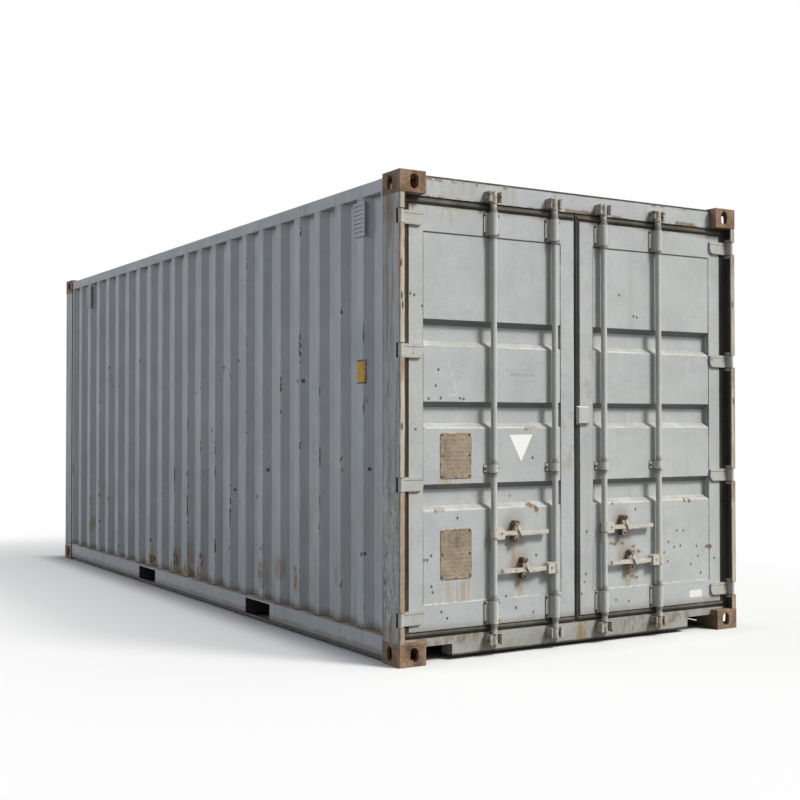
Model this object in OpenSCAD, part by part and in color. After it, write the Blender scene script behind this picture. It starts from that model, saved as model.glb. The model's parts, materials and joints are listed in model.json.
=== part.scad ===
// Twenty-foot steel shipping container with two hinged end doors and their lock gear.
// X is the width, Y the length with the doors at -Y, Z is up; the origin is the bottom centre.

/* [Overall] */
// Length over the corner fittings
length = 6058; // [5000:1:7000]
// Width over the corner fittings
width = 2438; // [2300:1:2600]
// Height over the corner fittings
height = 2591; // [2400:1:2900]

/* [Corner fittings] */
// Width of a fitting, across the container
fitting_x = 162; // [150:1:180]
// Length of a fitting, along the container
fitting_y = 178; // [165:1:195]
// Height of a fitting
fitting_z = 118; // [110:1:130]
// Wall with the top or bottom slot
fitting_wall_z = 28; // [24:0.5:32]
// Wall with the side hole
fitting_wall_x = 16.5; // [12:0.5:20]
// Wall with the end hole
fitting_wall_y = 23; // [16:0.5:26]
// Closed walls on the inner sides
fitting_wall_inner = 14; // [8:0.5:18]
// Length of the top or bottom slot
slot_length = 124.5; // [115:0.5:130]
// Width of the top or bottom slot
slot_width = 63.5; // [55:0.5:68]
// Slot centre to the outer side face
slot_from_side = 89.5; // [82:0.5:96]
// Slot centre to the outer end face
slot_from_end = 102.5; // [96:0.5:108]
// Height of the side and end holes
hole_height = 79.5; // [70:0.5:84]
// Width of the side and end holes
hole_width = 51; // [45:0.5:60]

/* [Posts] */
// How far the posts stand inside the fittings' faces
face_inset = 2; // [1:0.5:5]
// Plate of the posts
post_plate = 6; // [4:0.5:8]
// Width of the rear post's front lip
lip_width = 33; // [28:1:40]
// Width of the rear post from its side face to the door opening
channel_width = 47; // [42:1:55]
// Depth of the channel inside the rear post
channel_depth = 98; // [80:1:110]
// Plate of that channel
channel_plate = 12; // [8:0.5:14]
// Turned-in edges of the front post
front_post_edge = 42; // [30:1:60]

/* [Rails and base] */
// How far rails and side sheets stand inside the fittings' faces
side_inset = 9; // [7:0.5:12]
// Plate of the bottom rails and sill
rail_plate = 6; // [4:0.5:8]
// Underside of the bottom rails above the ground
rail_bottom = 14; // [10:1:20]
// Top of the bottom side rails and front bottom rail
rail_top = 150; // [146:1:165]
// Width of the bottom rails' flanges
rail_flange = 50; // [40:1:60]
// Width of the top side rails
top_rail_width = 60; // [50:1:70]
// Underside of the top rails, measured down from the top
top_rail_drop = 89; // [80:1:100]
// Top of the top rails, measured down from the top
top_rail_top_drop = 20; // [18:1:26]
// Wall of the top rails and header tubes
tube_wall = 4; // [3:0.5:5]
// Underside of the door header, measured down from the top
header_drop = 121; // [115:1:135]
// Top of the door header, measured down from the top
header_top_drop = 8; // [6:1:14]
// Depth of the header and sill along the container
header_depth = 104; // [90:1:110]
// Top of the door sill
sill_top = 130; // [126:1:140]
// Underside of the door sill
sill_bottom = 22; // [16:1:30]
// Outer edge of the sill's middle stretch, where each notch starts
notch_start = 858; // [820:1:920]
// Underside of the sill over a notch
notch_top = 86; // [80:1:100]
// Cross members, spacing
cross_pitch = 300; // [240:1:360]
// Cross members, width of a flange
cross_flange = 45; // [35:1:55]
// Cross members and tunnels, plate
cross_plate = 4; // [3:0.5:5]
// Thickness of the floor sheets
floor_thick = 28; // [21:1:32]
// Joint between floor sheets
floor_joint = 4; // [2:0.5:6]
// Floor sheets along the length
floor_count = 5; // [3:1:7]

/* [Fork pockets] */
// Width of a pocket along the container
pocket_width = 366; // [320:1:380]
// Distance between the pockets' centres
pocket_spacing = 2062; // [1900:1:2150]
// Shift of the pair towards the doors
pocket_shift = 224; // [0:1:240]
// Bottom of a pocket's opening
pocket_bottom = 29; // [24:1:34]
// Top of a pocket's opening
pocket_top = 127; // [120:1:130]

/* [Corrugated sheets] */
// Thickness of the sheet
sheet = 2; // [1.5:0.1:3]
// Waves in a side wall
side_waves = 22; // [18:1:24]
// Depth of the side wall's waves
side_wave_depth = 36; // [30:1:42]
// Outer flat of a side wave
side_flat = 72; // [60:1:80]
// Run of a side wave's slope
side_slope = 59; // [45:1:65]
// Flat between a side wall's first wave and its post
side_edge = 31; // [20:1:45]
// Waves in the front wall
front_waves = 8; // [7:1:9]
// Depth of the front wall's waves
front_wave_depth = 45; // [36:1:48]
// Outer flat of a front wave
front_flat = 104; // [80:1:110]
// Run of a front wave's slope
front_slope = 18; // [12:1:28]
// Waves in the roof
roof_waves = 27; // [22:1:28]
// Rise of the roof's waves
roof_wave_rise = 14; // [10:1:16]
// Flat between two roof waves
roof_flat = 91; // [80:1:100]
// Run of a roof wave's slope
roof_slope = 13; // [10:1:20]
// Edge of the roof's waves, inside the top rails' inner face
roof_wave_edge = 20; // [5:1:60]
// How far the roof's border laps onto a top rail
roof_lap = 50; // [30:1:58]

/* [Ventilators] */
// Width of a ventilator
vent_width = 120; // [100:1:130]
// Height of a ventilator
vent_height = 190; // [150:1:220]
// Thickness of a ventilator
vent_thick = 8; // [6:0.5:8.5]
// Gap between a ventilator and the top rail
vent_drop = 24; // [15:1:60]
// Louvre slots in a ventilator
vent_slots = 7; // [4:1:8]

/* [Doors] */
// Door face behind the fittings' end faces
door_recess = 52; // [50:0.5:56]
// Depth of a door leaf's frame
leaf_depth = 50; // [45:1:55]
// Half the gap between the two leaves
leaf_gap_half = 22; // [20:1:26]
// Width of the stile beside the hinges
hinge_stile = 90; // [80:1:100]
// Width of the stile at the middle of the doorway
lock_stile = 96; // [90:1:110]
// Height of a leaf's top rail
door_top_rail = 141; // [130:1:160]
// Height of a leaf's bottom rail
door_bottom_rail = 138; // [130:1:160]
// Wall of the leaf's frame
leaf_wall = 4; // [3:0.5:5]
// Door panel behind the frame's face
panel_setback = 2; // [1:0.5:4]
// Depth of the panel's three recessed bands
band_depth = 36; // [30:1:38]
// Height of a recessed band
band_height = 140; // [120:1:160]
// Height of a band's slope
band_slope = 28; // [20:1:35]
// Distance between bands
band_pitch = 440; // [400:1:460]
// Middle band above the panel's middle
band_shift = 16; // [0:1:40]
// Gap round a gasket
gasket_gap = 5; // [5:0.5:7]
// Gap between the two doors' gaskets at the meeting line
meeting_gap = 8; // [8:0.5:10]
// Width of the left gasket at the meeting line
gasket_left = 8; // [5:0.5:9]
// Width of the gasket beside the hinges
gasket_side = 33; // [25:1:38]
// Height of the gasket over a leaf
gasket_top = 41; // [34:1:46]
// Height of the gasket under a leaf
gasket_bottom = 33; // [26:1:38]
// Depth of the gasket
gasket_depth = 40; // [30:1:42]
// Gasket behind the leaf's face
gasket_setback = 7; // [6:0.5:9]
// Lap plate at the doors' meeting line, width
lap_width = 92; // [70:1:100]
// Lap plate, height
lap_height = 108; // [90:1:130]
// Lap plate, middle above the ground
lap_z = 1310; // [1100:1:1500]
// Lap plate, reach past the middle of the doorway
lap_reach = 8; // [4:1:10]
// Lap plate, thickness
lap_thick = 18; // [8:0.5:22]
// Lap plate, run of its sloped edges
lap_bevel = 10; // [4:0.5:16]

/* [Hinges] */
// Hinges on each door
hinge_count = 4; // [3:1:5]
// Height of a hinge
hinge_height = 75; // [60:1:90]
// First and last hinge from the leaf's ends
hinge_end = 75; // [70:1:90]
// Pin radius
pin_r = 9; // [7:0.5:10]
// Knuckle radius
knuckle_r = 14; // [13:0.5:15]
// Pin axis inside the post's faces
pin_inset = 16; // [15:0.5:17]
// Thickness of a hinge blade
blade_thick = 12; // [8:0.5:12]
// Upper corner of a blade's free end
blade_round_top = 10; // [6:1:20]
// Lower corner of a blade's free end
blade_round_low = 34; // [20:1:40]
// How far a blade reaches over the leaf
blade_lap = 86; // [60:1:88]
// Height of a lug over or under a knuckle
lug_height = 20; // [14:1:26]
// Gap round a hinge in the post's notch
notch_gap = 7; // [5:0.5:9]
// Clearance of the pin in a knuckle
pin_clear = 0.3; // [0.2:0.05:0.5]
// Gap between a knuckle and a lug
knuckle_gap = 1; // [0.5:0.1:2]

/* [Lock gear] */
// Rod radius
rod_r = 17; // [14:0.5:17.5]
// Outer rods from the middle of the doorway
rod_outer = 602; // [560:1:640]
// Inner rods from the middle of the doorway
rod_inner = 180; // [170:1:220]
// Rod axis in front of the leaf's face
rod_stand = 27; // [26:0.5:28]
// Lower end of a rod above the ground
rod_bottom = 63; // [56:1:68]
// Upper end of a rod below the container's top
rod_top_drop = 61; // [52:1:72]
// Clearance of a rod in its brackets
rod_clear = 0.5; // [0.3:0.1:1]
// Wall of a bracket round its rod
saddle_wall = 6; // [4:0.5:6]
// Width of a bracket's plate
bracket_width = 100; // [80:1:110]
// Thickness of a bracket's plate
bracket_thick = 6; // [4:0.5:7]
// Height of the end brackets
bracket_height = 123; // [100:1:126]
// Rounding of the bracket plates' corners
bracket_round = 12; // [6:1:18]
// Height of the middle guides
guide_height = 45; // [35:1:60]
// Middle guides above the ground
guide_z = 1018; // [960:1:1100]
// Collar radius on a rod
collar_r = 21; // [19:0.5:23]
// Collar height
collar_height = 12; // [8:1:16]
// Gap between a collar and its bracket
collar_gap = 1; // [0.5:0.1:2]
// Cam height
cam_height = 56; // [45:1:58]
// Cam hub radius
cam_r = 18; // [17.5:0.5:19]
// Cam lobe's reach from the rod's axis
cam_reach = 27; // [25:0.5:28]
// Cam lobe's thickness
cam_thick = 18; // [14:0.5:20]
// Height of the disc between a cam and its rod
disc_height = 7; // [5:0.5:10]
// Keeper cheeks from the rod's axis
keeper_half = 32; // [31:0.5:36]
// Keeper plate
keeper_plate = 12; // [8:0.5:12]
// Keeper lip from the rod's axis, on the lobe's side
keeper_lip = 21; // [20:0.5:23]
// Gap between a cam lobe and the keeper's lip
keeper_gap = 2; // [1:0.5:3]

/* [Handles] */
// Handles of rods 1 and 3 above the ground
handle_high = 662; // [640:1:700]
// Handles of rods 2 and 4 above the ground
handle_low = 456; // [430:1:480]
// Handle's end from the rod's axis
handle_reach = 370; // [340:1:378]
// Height of the handle's bar
handle_bar = 25; // [20:1:30]
// Thickness of the handle's bar
handle_thick = 14; // [10:0.5:16]
// Front of the bar in front of the rod's axis
handle_front = 8; // [6:0.5:9]
// Height of the hub on the rod
hub_height = 63; // [50:1:70]
// Radius of the hub's collar round the rod
hub_r = 22.5; // [21:0.5:24]
// Reach of the hub's block from the rod's axis
hub_reach = 62; // [54:1:70]
// Depth of the hub
hub_depth = 36; // [30:1:40]
// Rounding of the hub's outer corners
hub_round = 8; // [4:1:12]
// Radius of the hub's bolt hole
hub_hole_r = 6; // [4:0.5:8]
// Depth of the hub's bolt hole
hub_hole_depth = 8; // [4:0.5:12]
// Clearance of the hub on the rod
hub_clear = 0.2; // [0.1:0.1:0.4]
// High retainers from their rod's axis
retainer_high = 145; // [130:1:180]
// Low retainers from their rod's axis
retainer_low = 222; // [200:1:250]
// Upper eye over the bar's middle
eye_up = 54; // [46:1:60]
// Lower eye under the bar's middle
eye_down = 37; // [34:1:44]
// Eye radius
eye_r = 15; // [12:0.5:16]
// Hole radius in the lower eye
eye_hole_r = 7; // [4:0.5:8]
// Retainer plate
retainer_plate = 6; // [4:0.5:8]
// Pin radius of a catch
catch_pin_r = 6; // [4:0.5:7]
// Clearance of a catch on its pin
catch_clear = 0.3; // [0.2:0.05:0.5]
// Length of a catch between the centres of its ends
catch_length = 72; // [60:1:80]
// Width of a catch
catch_width = 20; // [16:1:24]
// Length of a catch's tail along the handle
tail_length = 70; // [50:1:90]
// Width of a catch's tail
tail_width = 12; // [8:1:16]
// Thickness of a catch
catch_thick = 6; // [4:0.5:7]
// Gap between a catch and the handle under it
catch_gap = 3; // [2:0.5:4]
// Lean of a closed catch from upright
catch_lean = 30; // [20:1:40]

/* [Hidden] */
$fn = 48;
// Overshoot of a cutting solid
cut = 1;

half_x = width / 2;
half_y = length / 2;
inner_fit_x = half_x - fitting_x;
inner_fit_y = half_y - fitting_y;
fit_top = height - fitting_z;

// Faces of the posts, rails and side sheets, as distances from the middle
post_x = half_x - face_inset;
post_y = half_y - face_inset;
post_back = inner_fit_y;
opening_x = post_x - channel_width;
side_x = half_x - side_inset;

// Door end, outermost first along Y
pin_x = post_x - pin_inset;
pin_y = -post_y + pin_inset;
leaf_y = -half_y + door_recess;
leaf_back = leaf_y + leaf_depth;
panel_y = leaf_y + panel_setback;
channel_y = leaf_y + gasket_setback;
header_y = leaf_y + panel_setback;
header_back = header_y + header_depth;
rod_y = leaf_y - rod_stand;

// Heights
header_bottom = height - header_drop;
header_top = height - header_top_drop;
rail_high_bottom = height - top_rail_drop;
rail_high_top = height - top_rail_top_drop;
cross_top = rail_top - rail_plate;
cross_bottom = sill_bottom;
floor_top = cross_top + floor_thick;
leaf_bottom = sill_top + gasket_gap + gasket_bottom;
leaf_top = header_bottom - gasket_gap - gasket_top;
panel_bottom = leaf_bottom + door_bottom_rail;
panel_top = leaf_top - door_top_rail;
rod_top = height - rod_top_drop;

// Door leaf across the container
gasket_x = opening_x - gasket_gap;
leaf_out = gasket_x - gasket_side;
leaf_in = leaf_gap_half;
panel_in = leaf_in + lock_stile;
// Rubber edges at the meeting line: the left one stops short of the middle, the right one passes it
left_meeting = leaf_in - gasket_left;
right_meeting = meeting_gap - left_meeting;
panel_out = leaf_out - hinge_stile;

// Lock gear, one entry for each rod from left to right
rod_x = [-rod_outer, -rod_inner, rod_inner, rod_outer];
turn = [1, -1, 1, -1];
handle_z = [handle_high, handle_low, handle_high, handle_low];
retainer_off = [retainer_high, retainer_low, retainer_high, retainer_low];
left_rods = [0, 1];
right_rods = [2, 3];
saddle_r = rod_r + rod_clear + saddle_wall;
bar_front = rod_y - handle_front;
catch_back = bar_front - catch_gap;
catch_front = catch_back - catch_thick;

hinge_pitch = (leaf_top - leaf_bottom - 2 * hinge_end) / (hinge_count - 1);
hinge_z = [for (i = [0 : hinge_count - 1]) leaf_bottom + hinge_end + i * hinge_pitch];
pocket_y = [-pocket_shift - pocket_spacing / 2, -pocket_shift + pocket_spacing / 2];

door_grey = "#B4B8B9";
side_grey = "#8A8F92";
fitting_brown = "#7A5C4A";
gasket_black = "#2E2A28";
under_grey = "#5B5C5C";
ply_brown = "#8C6B48";

// Box between two corners, each given as a pair of limits
module block(x, y, z)
    translate([x[0], y[0], z[0]])
        cube([x[1] - x[0], y[1] - y[0], z[1] - z[0]]);

// Outline in Y and Z, run along X
module run_x(x)
    translate([x[0], 0, 0])
        rotate([90, 0, 90])
            linear_extrude(x[1] - x[0])
                children();

// Outline in X and Z, run along Y
module run_y(y)
    translate([0, y[1], 0])
        rotate([90, 0, 0])
            linear_extrude(y[1] - y[0])
                children();

// Outline in X and Y, run along Z
module run_z(z)
    translate([0, 0, z[0]])
        linear_extrude(z[1] - z[0])
            children();

// Children at the right, and mirrored at the left
module both_sides()
    for (side = [0, 1])
        mirror([side, 0, 0])
            children();

// Oblong with round ends along Y
module oblong(long, wide) {
    square([wide, long - wide], center = true);
    for (end = [-1, 1])
        translate([0, end * (long - wide) / 2])
            circle(d = wide);
}

// Rectangle between two pairs of limits
module area(x, y)
    translate([x[0], y[0]])
        square([x[1] - x[0], y[1] - y[0]]);

// Rectangle with round corners between two pairs of limits
module soft_area(x, y, r) {
    area([x[0] + r, x[1] - r], y);
    area(x, [y[0] + r, y[1] - r]);
    for (cx = [x[0] + r, x[1] - r], cy = [y[0] + r, y[1] - r])
        translate([cx, cy])
            circle(r);
}

// One wave as points of run and depth: down a slope, along the trough and up again
function wave(start, slope, trough, depth) = [
    [start, 0],
    [start + slope, depth],
    [start + slope + trough, depth],
    [start + 2 * slope + trough, 0]
];

// A row of waves over a run, with an edge flat at each end and a flat between waves
function wave_row(run, count, edge, flat, slope, depth) =
    let (trough = (run - 2 * edge - (count - 1) * flat) / count - 2 * slope,
         pitch = flat + 2 * slope + trough)
    concat([[0, 0]],
           [for (i = [0 : count - 1]) each wave(edge + i * pitch, slope, trough, depth)],
           [[run, 0]]);

// Closed outline of a sheet of the given thickness under a row of points
function sheet_outline(row, thick) =
    concat(row, [for (i = [len(row) - 1 : -1 : 0]) [row[i][0], row[i][1] + thick]]);

// Corner fitting with its outer corner at +X, +Y and its slot at the bottom
module fitting()
    difference() {
        cube([fitting_x, fitting_y, fitting_z]);
        block([fitting_wall_inner, fitting_x - fitting_wall_x],
              [fitting_wall_inner, fitting_y - fitting_wall_y],
              [fitting_wall_z, fitting_z - fitting_wall_inner]);
        translate([fitting_x - slot_from_side, fitting_y - slot_from_end, 0])
            run_z([-cut, fitting_wall_z + cut])
                oblong(slot_length, slot_width);
        translate([0, fitting_y - slot_from_end, fitting_z / 2])
            run_x([fitting_x - fitting_wall_x - cut, fitting_x + cut])
                oblong(hole_height, hole_width);
        translate([fitting_x - slot_from_side, 0, fitting_z / 2])
            run_y([fitting_y - fitting_wall_y - cut, fitting_y + cut])
                oblong(hole_height, hole_width);
    }

module four_fittings()
    both_sides()
        for (end = [0, 1])
            mirror([0, end, 0])
                translate([inner_fit_x, inner_fit_y, 0])
                    fitting();

module bottom_corner_fittings()
    color(fitting_brown)
        four_fittings();

module top_corner_fittings()
    color(fitting_brown)
        translate([0, 0, height])
            mirror([0, 0, 1])
                four_fittings();

// Rear post: outer side plate with a front lip, closed by a channel, notched at each hinge
module rear_post()
    difference() {
        run_z([fitting_z, fit_top]) {
            area([post_x - post_plate, post_x], [-post_y, -post_back]);
            area([post_x - lip_width, post_x], [-post_y, -post_y + post_plate]);
            difference() {
                area([opening_x, post_x - post_plate], [channel_y, channel_y + channel_depth]);
                area([opening_x + channel_plate, post_x - post_plate + cut],
                     [channel_y + channel_plate, channel_y + channel_depth - channel_plate]);
            }
        }
        for (z = hinge_z)
            block([post_x - lip_width - cut, post_x + cut],
                  [-post_y - cut, pin_y + knuckle_r + notch_gap],
                  [z - hinge_height / 2 - knuckle_gap, z + hinge_height / 2 + knuckle_gap]);
    }

module rear_posts()
    color(door_grey)
        both_sides()
            rear_post();

// Front post: one bent plate with both edges turned in
module front_post()
    run_z([fitting_z, fit_top]) {
        area([post_x - post_plate, post_x], [post_back, post_y]);
        area([inner_fit_x, post_x], [post_y - post_plate, post_y]);
        area([post_x - front_post_edge, post_x], [post_back, post_back + post_plate]);
        area([inner_fit_x, inner_fit_x + post_plate], [post_y - front_post_edge, post_y]);
    }

module front_posts()
    color(side_grey)
        both_sides()
            front_post();

// Header tube between the top fittings, with ends that reach the posts below the fittings
module door_header()
    color(door_grey) {
        run_x([-inner_fit_x, inner_fit_x])
            difference() {
                area([header_y, header_back], [header_bottom, header_top]);
                area([header_y + tube_wall, header_back - tube_wall],
                     [header_bottom + tube_wall, header_top - tube_wall]);
            }
        both_sides()
            block([inner_fit_x, opening_x], [header_y, header_back], [header_bottom, fit_top]);
    }

// Sill: front plate with a notch beside each fitting, top plate, flange and threshold
module door_sill()
    color(door_grey) {
        run_y([header_y, header_y + rail_plate])
            difference() {
                union() {
                    area([-inner_fit_x, inner_fit_x], [sill_bottom, sill_top]);
                    area([-opening_x, opening_x], [fitting_z, sill_top]);
                }
                for (x = [-inner_fit_x - cut, notch_start])
                    area([x, x + inner_fit_x - notch_start + cut], [sill_bottom - cut, notch_top]);
            }
        block([-opening_x, opening_x], [header_y, header_back], [sill_top - rail_plate, sill_top]);
        block([-notch_start, notch_start], [header_y, header_back - header_depth / 4],
              [sill_bottom, sill_bottom + rail_plate]);
        both_sides() {
            block([notch_start - rail_plate, inner_fit_x], [header_y, header_back],
                  [notch_top, notch_top + rail_plate]);
            block([notch_start - rail_plate, notch_start], [header_y, header_back],
                  [sill_bottom, sill_top]);
        }
        block([-opening_x + rail_plate, opening_x - rail_plate], [header_back - rail_plate, header_back],
              [sill_top - rail_plate, floor_top]);
    }

front_rail_in = half_y - side_inset - top_rail_width;

// Square tube between the front fittings, with a plate behind it that the roof's end laps onto
module front_top_rail()
    color(side_grey)
        run_x([-inner_fit_x, inner_fit_x]) {
            difference() {
                area([front_rail_in, half_y - side_inset], [rail_high_bottom, header_top]);
                area([front_rail_in + tube_wall, half_y - side_inset - tube_wall],
                     [rail_high_bottom + tube_wall, header_top - tube_wall]);
            }
            area([inner_fit_y, front_rail_in + tube_wall / 2], [rail_high_top - tube_wall, rail_high_top]);
        }

// Channel outline with its back at the given position and its flanges to lower values
module channel(back)
    difference() {
        area([back - rail_flange, back], [rail_bottom, rail_top]);
        area([back - rail_flange - cut, back - rail_plate],
             [rail_bottom + rail_plate, rail_top - rail_plate]);
    }

module front_bottom_rail()
    color(side_grey)
        run_x([-inner_fit_x, inner_fit_x])
            channel(half_y - side_inset);

module top_side_rails()
    color(side_grey)
        both_sides()
            run_y([-inner_fit_y, inner_fit_y])
                difference() {
                    area([side_x - top_rail_width, side_x], [rail_high_bottom, rail_high_top]);
                    area([side_x - top_rail_width + tube_wall, side_x - tube_wall],
                         [rail_high_bottom + tube_wall, rail_high_top - tube_wall]);
                }

module bottom_side_rails()
    color(side_grey)
        both_sides()
            difference() {
                run_y([-inner_fit_y, inner_fit_y])
                    channel(side_x);
                for (y = pocket_y)
                    block([side_x - rail_plate - cut, side_x + cut],
                          [y - pocket_width / 2, y + pocket_width / 2], [pocket_bottom, pocket_top]);
            }

// Middle of the nearest pocket's distance from a place along the container
function pocket_distance(y) = min([for (p = pocket_y) abs(y - p)]);

cross_half = floor((inner_fit_y - cross_flange) / cross_pitch);
cross_y = [
    for (i = [-cross_half : cross_half])
        if (pocket_distance(i * cross_pitch) > pocket_width / 2 + cross_plate + cross_flange)
            i * cross_pitch
];

module cross_members()
    color(under_grey)
        for (y = cross_y)
            translate([0, y, 0])
                run_x([-side_x + rail_plate, side_x - rail_plate])
                    difference() {
                        area([0, cross_flange], [cross_bottom, cross_top]);
                        area([cross_plate, cross_flange + cut],
                             [cross_bottom + cross_plate, cross_top - cross_plate]);
                    }

module fork_tunnels()
    color(under_grey)
        for (y = pocket_y)
            translate([0, y, 0])
                run_x([-side_x + rail_plate, side_x - rail_plate]) {
                    for (end = [-1, 1])
                        translate([end * (pocket_width + cross_plate) / 2, 0])
                            area([-cross_plate / 2, cross_plate / 2], [rail_bottom + rail_plate, cross_top]);
                    area([-pocket_width / 2 - cross_plate, pocket_width / 2 + cross_plate],
                         [pocket_top, pocket_top + cross_plate]);
                }

floor_half_x = side_x - rail_flange - floor_joint / 2;
floor_start = header_back;
floor_end = half_y - side_inset - rail_flange - floor_joint / 2;
floor_step = (floor_end - floor_start + floor_joint) / floor_count;

module floor_sheets()
    color(ply_brown)
        both_sides()
            for (i = [0 : floor_count - 1])
                block([floor_joint / 2, floor_half_x],
                      [floor_start + i * floor_step, floor_start + (i + 1) * floor_step - floor_joint],
                      [cross_top, floor_top]);

// Side wall sheet at the right: waves along Y from post to post
module side_sheet()
    run_z([rail_top, rail_high_bottom])
        translate([side_x, -post_back])
            rotate(90)
                polygon(sheet_outline(
                    wave_row(2 * post_back, side_waves, side_edge, side_flat, side_slope, side_wave_depth),
                    sheet));

module left_side_panel()
    color(side_grey)
        mirror([1, 0, 0])
            side_sheet();

module right_side_panel()
    color(side_grey)
        side_sheet();

module front_panel()
    color(side_grey)
        run_z([rail_top, rail_high_bottom])
            translate([inner_fit_x, half_y - side_inset])
                rotate(180)
                    polygon(sheet_outline(
                        wave_row(2 * inner_fit_x, front_waves, front_flat / 2, front_flat,
                                 front_slope, front_wave_depth),
                        sheet));

roof_end = -header_back;
roof_half_x = side_x - top_rail_width - roof_wave_edge;
roof_row = wave_row(roof_end - header_back, roof_waves, roof_flat / 2, roof_flat, roof_slope, roof_wave_rise);

// Roof sheet: raised waves across the width, closed at their ends, with flat borders on the rails
module roof_sheet()
    translate([0, header_back, rail_high_top]) {
        run_x([-roof_half_x, roof_half_x])
            polygon(sheet_outline(roof_row, sheet));
        both_sides() {
            run_x([roof_half_x - sheet, roof_half_x])
                for (i = [0 : roof_waves - 1])
                    polygon([for (k = [1 : 4]) roof_row[4 * i + k]]);
            block([roof_half_x - sheet, side_x - top_rail_width + roof_lap],
                  [0, roof_end - header_back], [0, sheet]);
        }
    }

// Roof sheet with its corners cut away round the fittings
module roof_panel()
    color(side_grey)
        difference() {
            roof_sheet();
            both_sides()
                for (y = [[-half_y, -inner_fit_y], [inner_fit_y, half_y]])
                    block([inner_fit_x, half_x], y, [fit_top, height + cut]);
        }

// Middles of the ridges next to the first and last waves of a side wall
side_trough = (2 * post_back - 2 * side_edge - (side_waves - 1) * side_flat) / side_waves - 2 * side_slope;
side_pitch = side_flat + 2 * side_slope + side_trough;
vent_y = [for (i = [1, side_waves - 2]) -post_back + side_edge + i * side_pitch - side_flat / 2];
vent_top = rail_high_bottom - vent_drop;
vent_step = vent_height / (vent_slots + 1);
vent_slot = vent_step / 3;

// Louvred cover on a ridge
module ventilator()
    difference() {
        block([side_x, side_x + vent_thick], [-vent_width / 2, vent_width / 2],
              [vent_top - vent_height, vent_top]);
        for (i = [1 : vent_slots])
            block([side_x + vent_thick / 2, side_x + vent_thick + cut],
                  [-vent_width / 2 + vent_step / 2, vent_width / 2 - vent_step / 2],
                  [vent_top - i * vent_step - vent_slot / 2, vent_top - i * vent_step + vent_slot / 2]);
    }

module ventilators()
    color(side_grey)
        both_sides()
            for (y = vent_y)
                translate([0, y, 0])
                    ventilator();

// Lugs over and under each knuckle, with the hinge pin between them
module hinge_lugs()
    color(door_grey)
        both_sides()
            for (z = hinge_z)
                translate([0, 0, z]) {
                    for (end = [0, 1])
                        mirror([0, 0, end])
                            block([pin_x - knuckle_r, post_x - post_plate],
                                  [-post_y + post_plate, channel_y],
                                  [hinge_height / 2 + knuckle_gap,
                                   hinge_height / 2 + knuckle_gap + lug_height]);
                    translate([pin_x, pin_y, 0])
                        cylinder(r = pin_r, h = hinge_height + 2 * (knuckle_gap + lug_height), center = true);
                }

// Keeper of one cam: two cheeks with round front edges, and a lip in front of the lobe
module keeper(i)
    translate([rod_x[i], rod_y, 0]) {
        edge = keeper_plate / 2;
        front = -cam_thick / 2 - keeper_gap - edge;
        for (x = [-keeper_half - edge, keeper_half + edge]) {
            area([x - edge, x + edge], [front, header_y - rod_y]);
            translate([x, front])
                circle(edge);
        }
        mirror([turn[i] > 0 ? 1 : 0, 0]) {
            area([keeper_lip + edge, keeper_half + edge], [front - edge, front + edge]);
            translate([keeper_lip + edge, front])
                circle(edge);
        }
    }

module cam_keepers()
    color(door_grey)
        for (i = [0 : 3], z = [rod_bottom, rod_top - cam_height])
            run_z([z, z + cam_height])
                keeper(i);

// Door frame at the right: two tube stiles with channel rails between them
module door_frame()
    color(door_grey) {
        for (x = [[leaf_in, panel_in], [panel_out, leaf_out]])
            difference() {
                block(x, [leaf_y, leaf_back], [leaf_bottom, leaf_top]);
                block([x[0] + leaf_wall, x[1] - leaf_wall], [leaf_y + leaf_wall, leaf_back - leaf_wall],
                      [leaf_bottom + leaf_wall, leaf_top - leaf_wall]);
            }
        for (z = [[leaf_bottom, panel_bottom], [panel_top, leaf_top]])
            difference() {
                block([panel_in - leaf_wall, panel_out + leaf_wall], [leaf_y, leaf_back], z);
                block([panel_in, panel_out], [leaf_y + leaf_wall, leaf_back + cut],
                      [z[0] + leaf_wall, z[1] - leaf_wall]);
            }
    }

band_z = [for (i = [-1 : 1]) (panel_bottom + panel_top) / 2 + band_shift + i * band_pitch];
band_row = concat([[panel_bottom, 0]],
                  [for (z = band_z)
                      each wave(z - band_height / 2, band_slope, band_height - 2 * band_slope, band_depth)],
                  [[panel_top, 0]]);

// Door sheet at the right, with three recessed bands across it
module door_panel()
    color(door_grey)
        run_x([panel_in, panel_out])
            translate([panel_y, 0])
                mirror([1, 0])
                    rotate(90)
                        polygon(sheet_outline(band_row, sheet));

// Hinge blades at the right: a knuckle round the pin and an arm onto the leaf's face
module door_hinges()
    color(door_grey) {
        back = leaf_y - pin_y;
        front = back - blade_thick;
        reach = pin_x - leaf_out + blade_lap;
        for (z = hinge_z)
            translate([pin_x, pin_y, z - hinge_height / 2])
                intersection() {
                    linear_extrude(hinge_height)
                        difference() {
                            union() {
                                circle(knuckle_r);
                                polygon([[-knuckle_r, 0], [-knuckle_r - blade_thick / 4, front],
                                         [-reach, front], [-reach, back],
                                         [-knuckle_r - blade_thick / 2, back], [0, knuckle_r]]);
                            }
                            circle(pin_r + pin_clear);
                        }
                    run_y([-knuckle_r - cut, back + cut])
                        blade_outline(reach);
                }
    }

// Blade seen from the front: square at the knuckle, rounded at its free end
module blade_outline(reach) {
    area([-reach, knuckle_r + cut], [blade_round_low, hinge_height - blade_round_top]);
    area([blade_round_top - reach, knuckle_r + cut], [hinge_height / 2, hinge_height]);
    area([blade_round_low - reach, knuckle_r + cut], [0, hinge_height / 2]);
    translate([blade_round_top - reach, hinge_height - blade_round_top])
        circle(blade_round_top);
    translate([blade_round_low - reach, blade_round_low])
        circle(blade_round_low);
}

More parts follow.
